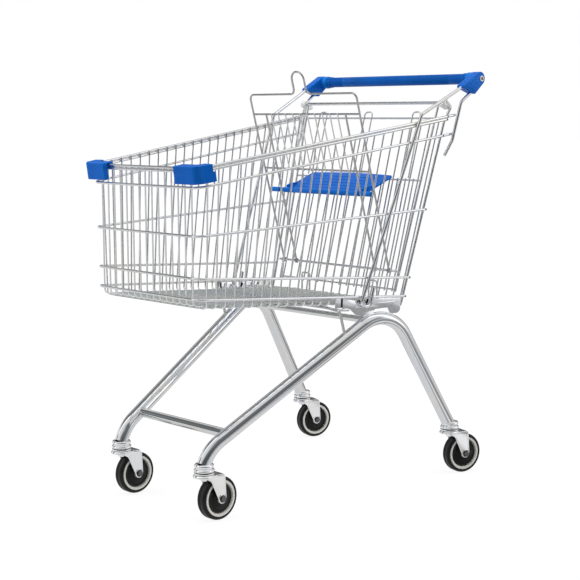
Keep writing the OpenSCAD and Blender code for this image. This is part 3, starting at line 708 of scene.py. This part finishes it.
cap_outline = arc(-2, 0.5, 16.5, -51, 119, 22) + arc(-62, -19.8, 4.5, 119, 250, 10)
cap_outline += arc(-24, -32.5, 5, 250, 309, 8)
cap_mid = (-26, -12)
for side, name in SIDES:
    p = Part()
    place = handed(side) @ along_x(HANDLE)
    p.prism(cap_outline, 261, 285, place, 0, 2.6, 4)
    p.lathe([(HANDLE_BORE, SLEEVE_HALF + 0.1), (15.2, SLEEVE_HALF + 0.1), (16.2, SLEEVE_HALF + 1.1),
             (16.4, 266), (HANDLE_BORE, 266)], place, 44)
    # raised welt round the outer face, and the rivet with its washer in the eye
    welt = [(cap_mid[0] + (x - cap_mid[0]) * 0.80, cap_mid[1] + (y - cap_mid[1]) * 0.72)
            for x, y in cap_outline]
    p.prism(welt, 284, 286, place, 0, 0.9, 2)
    p.lathe([(0, 284.5), (7.0, 284.5), (7.0, 287.4), (6.4, 288), (4.6, 288), (4.2, 287.2), (0, 287.2)],
            place, 28, 1)
    p.lathe([(0, 286.5), (4.1, 286.5), (4.0, 287.8), (3.2, 288.8), (0, 289.2)], place, 24, 2)
    p.make("end_cap_" + name, [BLUE, CLIP, BRASS], CART, "handle_cap_" + name, "blue_plastic")

# ---------- bumpers ----------
nose = -FRONT_Y - (MESH_D + RIM_D) / 2 - 0.02
rim_slope = math.atan((RIM[1] - RIM[0]) / (edge_y(RIM[1]) + FRONT_Y))
tilted = Matrix.Translation(vec(0, nose, between(RIM, nose))) @ Matrix.Rotation(rim_slope, 4, "X")
tilted = tilted @ Matrix.Translation(vec(0, -nose, 0))
lean = math.atan(SPREAD)
off0 = (MESH_D + RIM_D) / 2 + 0.02
bend_c = (wall_x(nose, RIM[0]) + off0 * WALL_N + SPREAD * CORNER_R - CORNER_R / math.cos(lean),
          nose + CORNER_R)
bumper_front = nose - 17.43


def outer_line(tail):
    """The bumper's outer outline seen from above, from its inner end to its tail."""
    pts = [(127, bumper_front)] + arc(190, bumper_front + 5, 5, -90, -46, 6)
    return pts + [(207, nose - 4.2), (207 + (tail - nose + 4.2) * 0.17, tail)]


def hit(origin, direction, line):
    """Distance from origin along direction to a polyline."""
    best = None
    ox, oy = origin
    dx, dy = direction
    for (ax, ay), (bx, by) in zip(line, line[1:]):
        ex, ey = bx - ax, by - ay
        den = dx * ey - dy * ex
        if abs(den) < 1e-9:
            continue
        t = ((ax - ox) * ey - (ay - oy) * ex) / den
        u = ((ax - ox) * dy - (ay - oy) * dx) / den
        if t > 0 and -1e-6 <= u <= 1 + 1e-6:
            best = t if best is None else min(best, t)
    return best


def bumper_sections(tail, cross):
    """Sections along the rim round the corner; cross(o) gives (offset, height) points for outer
    offset o."""
    line = outer_line(tail + 30)
    stations = []
    for x in (127, 134, 145, 157, bend_c[0]):
        stations.append(((x, nose), (0, -1)))
    for k in range(1, 19):
        a = math.radians(-90) + (math.radians(90) - lean) * k / 18
        stations.append(((bend_c[0] + CORNER_R * math.cos(a), bend_c[1] + CORNER_R * math.sin(a)),
                         (math.cos(a), math.sin(a))))
    last = stations[-1]
    run = tail - last[0][1]
    for k in range(1, 4):
        y = last[0][1] + run * k / 3
        stations.append(((last[0][0] + (y - last[0][1]) * SPREAD, y), last[1]))
    sections = []
    for (x, y), (nx, ny) in stations:
        o = hit((x, y), (nx, ny), [(-500, bumper_front)] + line)
        sections.append([tilted @ vec(x + nx * q, y + ny * q, z) for q, z in cross(o)])
    return sections


for side, name in SIDES:
    p = Part()
    inner, back = RIM_D / 2 + 0.8, RIM_D / 2 + MESH_D + 1.1
    cover = bumper_sections(-391, lambda o: [(o, -8), (o, 10.5), (-back - 4, 10.5), (-back - 4, -9),
                                             (-back, -9), (-back, 7.15), (inner, 7.15), (inner, -8)])
    skirt = bumper_sections(-385, lambda o: [(o, -28.5), (o, -6.5), (inner, -6.5), (inner, -28.5)])
    for shell in (cover, skirt):
        p.loft([sided(section, side) for section in shell], 1.6, 3)
    p.make("bumper_shell_" + name, [BLUE], CART, "bumper_" + name, "blue_plastic")

# ---------- gate ----------
gate_place = Matrix.Translation(GATE_TOP) @ Matrix.Rotation(-TILT, 4, "X")


def gate_path(pts):
    return [gate_place @ vec(*q) for q in pts]


GATE_FOOT = -478


def gate_half(s):
    """The gate's half width at s, a place down the gate."""
    return 229 - 24 * s / GATE_FOOT


def gate_s(z):
    return (z - GATE_TOP.z) / math.cos(TILT)


cross_t = (MESH_D + 5) / 2 - SINK
leg_s, seat_s = gate_s(893), gate_s(741)
p = Part()
p.wire([GATE_TOP - vec(249, 0, 0), GATE_TOP + vec(249, 0, 0)], 8, 18, 0.8)
for s in (1, -1):
    p.wire(gate_path([(s * gate_half(0), 0, 0), (s * gate_half(GATE_FOOT), 0, GATE_FOOT)]), 6, 14)
for s in (leg_s, seat_s, stop_s):
    p.wire(gate_path([(-gate_half(s), cross_t, s), (gate_half(s), cross_t, s)]), 5, 12)
# The wire that carries the seat back, low on the gate and ahead of it
HINGE_S, HINGE_T = -429, -16
hx = gate_half(HINGE_S)
path = [(-hx, 0, HINGE_S), (-hx, HINGE_T, HINGE_S), (hx, HINGE_T, HINGE_S), (hx, 0, HINGE_S)]
p.wire(bent(gate_path(path), 7, 8), 6, 14)
p.make("gate_wires", [WIRE], GATE, "gate_frame", "bright_wire")

GATE_PITCH = 26
p = Part()
for i in range(8):
    for s in (1, -1):
        x = s * GATE_PITCH * (i + 0.5)
        p.wire(gate_path([(x, 0, seat_s + 4), (x, 0, GATE_FOOT)]), MESH_D, 12)
p.make("gate_uprights", [WIRE], GATE, "gate_mesh", "bright_wire")

p = Part()
for x in (-164, 0, 164):
    path = [(x - 13, 0, seat_s + 4), (x - 13, 0, leg_s + 15), (x + 13, 0, leg_s + 15),
            (x + 13, 0, seat_s + 4)]
    p.wire(bent(gate_path(path), 9, 9), MESH_D, 12)
p.make("gate_loops", [WIRE], GATE, "gate_leg_wires", "bright_wire")

to_post = (POST_TOP[0] - GATE_TOP.y, POST_TOP[1] - GATE_TOP.z)
aim = math.degrees(math.atan2(to_post[1], to_post[0]))
for side, name in SIDES:
    p = Part()
    place = handed(side) @ along_x(GATE_TOP)
    clip_outline = arc(0, 0, 10, aim + 70, aim + 290, 24) + arc(*to_post, 7.5, aim - 75, aim + 75, 12)
    p.prism(clip_outline, 235, 251, place, 0, 1.4, 3)
    p.lathe([(4.1, 251), (8.2, 251), (8.2, 252.2), (7.6, 252.8), (4.6, 252.8), (4.1, 252.3)], place, 28)
    p.make("clip_" + name, [CLIP], CART, "hinge_clip_" + name, "clip_plastic")

# ---------- child seat ----------
SEAT_TILT = math.radians(15.4)
hinge = GATE_TOP + vec(0, HINGE_T * math.cos(TILT) + HINGE_S * math.sin(TILT),
                       HINGE_S * math.cos(TILT) - HINGE_T * math.sin(TILT))
seat_place = Matrix.Translation(hinge) @ Matrix.Rotation(SEAT_TILT, 4, "X")


def seat_path(pts):
    return [seat_place @ vec(*q) for q in pts]


# Heights up the seat back: its top, and the wire that carries the blue plate
SEAT_HALF, SEAT_TOP, PLATE_S = 187, 447, 196
p = Part()
frame_pts = [(SEAT_HALF, 0, 4.5), (SEAT_HALF, 0, SEAT_TOP), (21, 0, SEAT_TOP), (21, 0, SEAT_TOP + 55.5)]
frame_pts += [(-x, y, z) for x, y, z in frame_pts[::-1]]
p.wire(bent(seat_path(frame_pts), [14, 14, 20, 20, 14, 14], 12), 5, 14)
for s in (396, 253, PLATE_S):
    p.wire(seat_path([(-SEAT_HALF, 0, s), (SEAT_HALF, 0, s)]), 5, 12)
for x in (140, -140):
    p.wire(seat_path([(x, 0, 4.5), (x, 0, 396)]), 5, 12)
eye_profile = [(3.1, -2.6), (3.5, -3), (6.0, -3), (6.5, -2.4), (6.5, 2.4), (6.0, 3), (3.5, 3), (3.1, 2.6)]
for x in (SEAT_HALF, 140, -140, -SEAT_HALF):
    p.lathe(eye_profile, along_x(hinge + vec(x, 0, 0)), 28)
p.make("seat_frame_wires", [DARKENED_WIRE], SEAT, "seat_back_frame", "bright_wire")

p = Part()
for i in range(5):
    for s in (1, -1):
        x = s * GATE_PITCH * (i + 0.5)
        p.wire(seat_path([(x, -4.0, 250), (x, -4.0, 399)]), 3.5, 12)
p.make("seat_uprights", [WIRE], SEAT, "seat_back_mesh", "bright_wire")

PLATE_TILT = math.radians(20.9)
seat_floor = seat_place @ Matrix.Translation(vec(0, 0, PLATE_S))
seat_floor = seat_floor @ Matrix.Rotation(PLATE_TILT - SEAT_TILT, 4, "X")
p = Part()
half_board = [(134, 0), (142, 14)] + arc(132, 113, 10, 0, 80, 7) + [(100, 125.2), (60, 127.8), (25, 129)]
board = [(-134, 0)] + half_board + [(-x, y) for x, y in half_board[:0:-1]]
p.prism(board, -8, -3, seat_floor, 0, 1.6, 3)
# raised lines and side welts on the seat, a turned-down lip along its back edge, and two lugs under it
for y in (30, 48, 66, 84, 102):
    bead = [seat_floor @ vec(x, y, -3.0) for x in (-112, -60, 0, 60, 112)]
    p.wire(bead, 2.2, 8, 0.5)
lip = [(-116, 118), (-60, 122), (60, 122), (116, 118), (114, 114), (-114, 114)]
p.prism(lip, -11, -6, seat_floor, 0, 1.0)
# the welts stand clear of the seat back's legs and of its cross wire when the plate is folded up
barrel = seat_floor @ along_x((0, 0, 0))
welt = [(14, -6), (110, -6), (110, -3.4), (54, -3.1), (46, 0.5), (36, 3.8), (20, 6.6), (14, 5)]
for a, b in ((-136, -131), (131, 136)):
    p.prism(welt, a, b, barrel, 0, 1.0)
for x in (118, -118):
    p.prism([(x - 7, 96), (x + 7, 96), (x + 5, 108), (x - 5, 108)], -13.5, -6, seat_floor, 0, 1.2)
r_in = 2.55
barrel_end = [(r_in, -134), (5.8, -134), (6.5, -133.2), (6.5, -96), (6.0, -95.2), (6.0, -92.8), (6.5, -92)]
p.lathe(barrel_end + [(r, -z) for r, z in barrel_end[::-1]], barrel, 36)
# locating knobs of the hinge wire, outside the inner legs
for a, b in ((-176, -146), (146, 176)):
    p.lathe([(r_in, a), (5.4, a), (6.2, a + 0.9), (6.2, b - 0.9), (5.4, b), (r_in, b)], barrel, 32)
p.make("seat_board", [BLUE], PLATE, "seat_plate", "blue_plastic")

# ---------- casters ----------
collar_profile = [(6.2, 117), (22.2, 117), (23.3, 117.9), (23.6, 119.8), (23.2, 121.8), (21.8, 123.2),
                  (19.6, 124), (18.8, 124.8), (18.8, 125.8), (19.6, 126.4), (21.4, 127.2), (22.4, 128.8),
                  (22.5, 130.8), (21.8, 132.8), (20.2, 134.3), (17.0, 134.6), (16.2, 133.6), (6.2, 124)]
cup_profile = [(0, 94.8), (6.5, 94.8), (8.6, 95.8), (9, 97.5), (9, 101.9), (6, 101.9), (6, 111.3),
               (21, 111.3), (22.6, 111.9), (23, 113), (22.6, 114.6), (21.4, 115.4), (6, 115.4), (6, 121.8),
               (0, 121.8)]
# a dark ring in the gap between the swivel cup and the collar: painted shade for the shadow in that gap
gap_shade_profile = [(6.2, 115.4), (21.3, 115.4), (21.6, 115.8), (21.6, 116.6), (21.3, 116.95), (6.2, 116.95)]
# name, side, swivel axis, and how many degrees it rests turned
casters = [("front_right", 1, FRONT_CASTER, 0), ("front_left", -1, FRONT_CASTER, 0),
           ("rear_right", 1, REAR_CASTER, 16), ("rear_left", -1, REAR_CASTER, 15)]


def at_caster(x, y, turn):
    """A caster's own frame: its swivel axis, with the wheel trailing at its rest angle."""
    return Matrix.Translation(vec(x, y, 0)) @ Matrix.Rotation(math.radians(-turn), 4, "Z")


collars, cups = Part(), Part()
for name, side, (x, y), turn in casters:
    at = at_caster(side * x, y, turn)
    collars.lathe(collar_profile, at, 56)
    cups.lathe(cup_profile, at, 48)
    cups.lathe(gap_shade_profile, at, 48, 1)
collars.make("collars", [SHEET], CART, "caster_collars", "zinc_caster")
cups.make("kingpins", [SHEET, BLACK_GUARD_AND_SHADE], CART, "swivel_stems", "zinc_caster")

TRAIL, AXLE_Z, LEG_IN, LEG_OUT = 37, 50, 16.5, 19
leg_outline = arc(TRAIL, AXLE_Z, 11, -160, 8, 12) + [(46.5, 75), (45, 98)] + arc(40, 102, 5, 0, 90, 5)
leg_outline += [(8, 107), (-11, 105.5), (-9, 102), (1, 99), (6, 94), (16, 72)]
crown = arc(0, 0, 25.5, 195, 345, 20) + [(20.5, 12), (19, 22), (19, 38)] + arc(15, 38, 4, 0, 90, 4)
crown += arc(-15, 38, 4, 90, 180, 4) + [(-19, 22), (-20.5, 12)]
TYRE_R, TYRE_IN, TYRE_HALF, RING_IN = 50, 42, 14, 36
AXLE_R, HUB_R = 4, 11
hexagon = arc(0, 0, 7.5, 0, 300, 5)
disc = [(11.1, 3.2), (33, 3.2), (33.4, 4), (33.4, 10.2), (32.8, 11), (30.8, 11.2), (30, 10.2), (28.6, 10),
        (22, 11.6), (20.8, 12.7), (19.4, 13), (13.4, 14.4), (12.6, 15), (11.1, 15.2)]

for name, side, (x, y), turn in casters:
    swivel, roll = "swivelling_caster_" + name, "rolling_wheel_" + name
    at = at_caster(side * x, y, turn)
    p = Part()
    for m in (1, -1):
        p.prism(leg_outline, LEG_IN, LEG_OUT, at @ handed(m) @ along_x((0, 0, 0)), 0, 0.7, 2)
        # folded flanges along the front and back edges, and the raised boss round the axle
        front_edge = [vec(LEG_OUT - 0.4, -6, 102.5), vec(LEG_OUT - 0.4, 6, 96), vec(LEG_OUT - 0.4, 27.6, 49)]
        back_edge = [vec(LEG_OUT - 0.4, 44, 101), vec(LEG_OUT - 0.4, 45.3, 75), vec(LEG_OUT - 0.4, 46.6, 53)]
        for edge in (front_edge, back_edge):
            q = [at @ vec(m * v.x, v.y, v.z) for v in edge]
            p.wire(bent(q, 14, 6), 3.6, 10, 0.8)
        p.lathe([(AXLE_R + 0.1, LEG_OUT - 0.4), (9.4, LEG_OUT - 0.4), (9.0, LEG_OUT + 0.5),
                 (8.4, LEG_OUT + 0.9), (AXLE_R + 0.1, LEG_OUT + 0.9)],
                at @ handed(m) @ along_x((0, TRAIL, AXLE_Z)), 32)
    p.prism(crown, 104, 107.6, at, 0, 1.2, 3)
    p.lathe([(6.1, 102.1), (16, 102.1), (17, 103), (24, 106.4), (24.4, 108), (23.4, 109.6), (21.8, 110.4),
             (6.1, 110.4)], at, 48)
    p.make("fork_shell_" + name, [SHEET], swivel, "fork_" + name, "zinc_caster")

    p = Part()
    axle = at @ along_x((0, TRAIL, AXLE_Z))
    p.lathe([(0, -25.8), (3.4, -25.8), (AXLE_R, -25.2), (AXLE_R, 20), (3.4, 20.6), (0, 20.6)], axle, 24)
    for m in (1, -1):
        # hexagon with a domed end, over a washer
        low, high = sorted((19.95 * m, 24.4 * m))
        p.prism(hexagon, low, high, axle, 0, 0.9, 2)
        p.lathe([(0, 24 * m), (5.9, 24 * m), (5.4, 24.8 * m), (0, 25.1 * m)], axle, 24)
        low, high = sorted((19.0 * m, 20.1 * m))
        p.lathe([(4.05, low), (8.6, low), (8.8, low + 0.2), (8.8, high - 0.2), (8.6, high), (4.05, high)],
                axle, 32)
    p.make("axle_bolt_" + name, [DARK_STEEL_AND_SHADOW], swivel, "axle_" + name, "zinc_caster")

    p = Part()
    tread = [(TYRE_IN, -11), (TYRE_IN + 1.6, -12.6), (TYRE_IN + 2.6, -12.9)]
    tread += arc(TYRE_R - 7, 7 - TYRE_HALF, 7, -78, 0, 9)
    tread += [(TYRE_R, -2.2), (TYRE_R - 0.35, -1.6), (TYRE_R - 0.35, 1.6), (TYRE_R, 2.2)]
    tread += arc(TYRE_R - 7, TYRE_HALF - 7, 7, 0, 78, 9)
    tread += [(TYRE_IN + 2.6, 12.9), (TYRE_IN + 1.6, 12.6), (TYRE_IN, 11)]
    p.lathe(tread, axle, 96)
    p.make("tyre_ring_" + name, [TYRE], roll, "tyre_" + name, "tyre_rubber")

    p = Part()
    half = [(AXLE_R + 0.1, 16), (10.4, 16), (HUB_R, 15.4), (HUB_R, 3), (RING_IN - 2, 3), (RING_IN, 12.2),
            (RING_IN + 0.7, 13), (TYRE_IN - 0.8, 13.3), (TYRE_IN, 12.6)]
    p.lathe(half + [(r, -z) for r, z in half[::-1]], axle, 72)
    p.make("wheel_centre_" + name, [RIMRING], roll, "wheel_" + name, "wheel_plastic")

    p = Part()
    for m in (1, -1):
        p.lathe([(r, m * z) for r, z in disc], axle, 72)
    p.make("guard_" + name, [BLACK_GUARD_AND_SHADE], roll, "cover_" + name, "guard_plastic")

# ---------- floor, light, camera ----------
def stage_plane(name, size, drop, mat):
    """A square of floor round the origin, marked as no part of the object."""
    me = bpy.data.meshes.new(name)
    a = size / 2
    me.from_pydata([(-a, -a, 0), (a, -a, 0), (a, a, 0), (-a, a, 0)], [], [(0, 1, 2, 3)])
    me.materials.append(mat)
    obj = bpy.data.objects.new(name, me)
    obj.location = (0, 0, -drop)
    bpy.context.scene.collection.objects.link(obj)


# Level directions from the trolley to the camera's side and to the view's right
TO_VIEWER, TO_RIGHT = (0.729, -0.684, 0.0), (0.684, 0.729, 0.0)
m, nodes, links, bsdf = material("pale_floor")
patches = ramp(nodes, links, noise(nodes, links, 3, 2), [(0.3, (0.36,) * 3), (0.7, (0.40,) * 3)])
links.new(patches, bsdf.inputs["Base Color"])
bsdf.inputs["Roughness"].default_value = 0.8
bsdf.inputs["Specular IOR Level"].default_value = 0.1


def glow(tree_nodes, strength):
    n = tree_nodes.new("ShaderNodeEmission")
    n.inputs["Strength"].default_value = strength
    return n.outputs[0]


def blend(tree_nodes, tree_links, fac, a, b):
    n = tree_nodes.new("ShaderNodeMixShader")
    if isinstance(fac, float):
        n.inputs[0].default_value = fac
    else:
        tree_links.new(fac, n.inputs[0])
    tree_links.new(a, n.inputs[1])
    tree_links.new(b, n.inputs[2])
    return n.outputs[0]


# seen directly the floor is near white, with soft contact shadows close to the trolley only;
# in reflections it is a pale sheet lit in bands
pale = nodes.new("ShaderNodeBsdfDiffuse")
pale.inputs["Color"].default_value = (0.9, 0.9, 0.9, 1)
spot = nodes.new("ShaderNodeTexCoord")
reach = nodes.new("ShaderNodeVectorMath")
reach.operation = "LENGTH"
links.new(spot.outputs["Object"], reach.inputs[0])
far = between_values(nodes, links, reach.outputs["Value"], 0.86, 1.0, 0.9, 2.2)
direct = blend(nodes, links, far, pale.outputs[0], glow(nodes, 1.04))
across = nodes.new("ShaderNodeVectorMath")
across.operation = "DOT_PRODUCT"
across.inputs[1].default_value = TO_RIGHT
links.new(spot.outputs["Object"], across.inputs[0])
# metres to the right of the trolley's middle, and brightness
BANDS_END = 5.5
band_stops = ((0.0, 0.66), (0.12, 0.70), (0.44, 0.70), (0.48, 0.34), (0.57, 0.36), (0.62, 0.80),
              (0.80, 0.84), (0.90, 0.22), (2.40, 0.22), (2.52, 0.66), (3.30, 0.66), (3.45, 0.36),
              (4.60, 0.36), (5.00, 0.66))
bands = ramp(nodes, links, between_values(nodes, links, across.outputs["Value"], 0, 1, 0, BANDS_END),
             [(at / BANDS_END, (g, g, g)) for at, g in band_stops])
lit_sheet = nodes.new("ShaderNodeEmission")
lit_sheet.inputs["Strength"].default_value = 1.2
links.new(bands, lit_sheet.inputs["Color"])
mirrored_floor = blend(nodes, links, 0.80, bsdf.outputs[0], lit_sheet.outputs[0])
ray = nodes.new("ShaderNodeLightPath")
links.new(blend(nodes, links, ray.outputs["Is Camera Ray"], mirrored_floor, direct),
          nodes["Material Output"].inputs["Surface"])
stage_plane("floor", 60, 0.0004, m)

# Studio walls: dark and pale bands by direction, which the bright metal mirrors; seen directly they are white
STRENGTH = 1.5
world = bpy.data.worlds.new("studio")
world.use_nodes = True
wn, wl = world.node_tree.nodes, world.node_tree.links
back = wn["Background"]
coord = wn.new("ShaderNodeTexCoord")
split = wn.new("ShaderNodeSeparateXYZ")
wl.new(coord.outputs["Generated"], split.inputs["Vector"])


def facing(direction):
    """1 where the view goes along the direction, 0 where it goes against it."""
    n = wn.new("ShaderNodeVectorMath")
    n.operation = "DOT_PRODUCT"
    n.inputs[1].default_value = direction
    wl.new(coord.outputs["Generated"], n.inputs[0])
    return between_values(wn, wl, n.outputs["Value"], 0, 1, -1, 1)


def greys(fac, stops):
    """Stops are place, brightness and tint."""
    return ramp(wn, wl, fac, [(pos, (g * r, g * q, g * b)) for pos, g, (r, q, b) in stops])


COOL, PLAIN = (0.94, 1.0, 1.03), (1.0, 1.0, 1.0)
turn = facing(TO_VIEWER)
left = greys(turn, [(0.0, 0.05, PLAIN), (0.09, 0.16, PLAIN), (0.15, 0.70, PLAIN), (0.34, 0.62, PLAIN),
                    (0.41, 0.12, COOL), (0.55, 0.09, COOL), (0.59, 0.90, PLAIN), (0.70, 0.80, PLAIN),
                    (0.78, 0.10, COOL), (1.0, 0.06, COOL)])
right = greys(turn, [(0.0, 0.05, PLAIN), (0.09, 0.12, PLAIN), (0.15, 0.50, PLAIN), (0.34, 0.46, PLAIN),
                     (0.42, 0.30, PLAIN), (0.46, 0.95, PLAIN), (0.60, 0.92, PLAIN), (0.65, 0.26, COOL),
                     (0.78, 0.10, COOL), (1.0, 0.06, COOL)])
upper_right = greys(turn, [(0.0, 0.52, PLAIN), (0.30, 0.50, PLAIN), (0.43, 0.42, PLAIN), (0.465, 1.0, PLAIN),
                           (0.53, 1.0, PLAIN), (0.57, 0.54, PLAIN), (0.75, 0.52, PLAIN), (0.785, 0.12, COOL)])
upper_left = greys(turn, [(0.0, 0.50, PLAIN), (0.14, 0.50, PLAIN), (0.19, 0.12, COOL), (0.43, 0.10, COOL),
                          (0.465, 1.0, PLAIN), (0.53, 1.0, PLAIN), (0.57, 0.58, PLAIN), (0.86, 0.50, PLAIN),
                          (0.91, 0.14, COOL)])
rightward = between_values(wn, wl, facing(TO_RIGHT), 0, 1, 0.35, 0.65)
walls = mix(wn, wl, rightward, left, right)
upper = mix(wn, wl, rightward, upper_left, upper_right)
lit = mix(wn, wl, ramp(wn, wl, split.outputs["Z"], [(0.38, (0, 0, 0)), (0.46, (1, 1, 1))]), walls, upper)
is_camera = wn.new("ShaderNodeLightPath")
wl.new(mix(wn, wl, is_camera.outputs["Is Camera Ray"], lit, (1 / STRENGTH, 1 / STRENGTH, 1 / STRENGTH)),
       back.inputs["Color"])
back.inputs["Strength"].default_value = STRENGTH
bpy.context.scene.world = world


def area(name, size, power, place):
    """A soft light aimed at the basket's middle, not seen in the metal."""
    light = bpy.data.lights.new(name, "AREA")
    light.shape = "RECTANGLE"
    light.size, light.size_y = size
    light.energy = power
    obj = bpy.data.objects.new(name, light)
    obj.location = place
    obj.rotation_euler = (Vector((0, 0, 0.5)) - Vector(place)).to_track_quat("-Z", "Y").to_euler()
    obj.visible_glossy = False
    bpy.context.scene.collection.objects.link(obj)


area("overhead", (3.0, 3.0), 36, (0.2, -0.2, 3.2))
area("left_wall", (2.6, 2.2), 46, (-2.6, -1.6, 1.7))
area("right_back", (2.2, 2.4), 40, (1.9, 2.7, 1.9))

# The photo's angle: place in metres, azimuth, downward tilt and roll in degrees, lens in mm
CAMERA_AT, CAMERA_TURN, CAMERA_LENS = (2.4178, -2.2701, 0.9111), (46.40, 7.505, -0.2705), 84.21
cam = bpy.data.cameras.new("view")
cam.sensor_width = 36
cam.lens = CAMERA_LENS
cam_obj = bpy.data.objects.new("view", cam)
bpy.context.scene.collection.objects.link(cam_obj)
az, el, roll = (math.radians(a) for a in CAMERA_TURN)
look = Vector((-math.sin(az) * math.cos(el), math.cos(az) * math.cos(el), -math.sin(el)))
right = look.cross(Vector((0, 0, 1))).normalized()
up = right.cross(look)
right, up = right * math.cos(roll) + up * math.sin(roll), up * math.cos(roll) - right * math.sin(roll)
cols = Matrix((right, up, -look)).transposed().to_4x4()
cam_obj.matrix_world = Matrix.Translation(CAMERA_AT) @ cols
bpy.context.scene.camera = cam_obj
bpy.context.scene.view_settings.view_transform = "Standard"
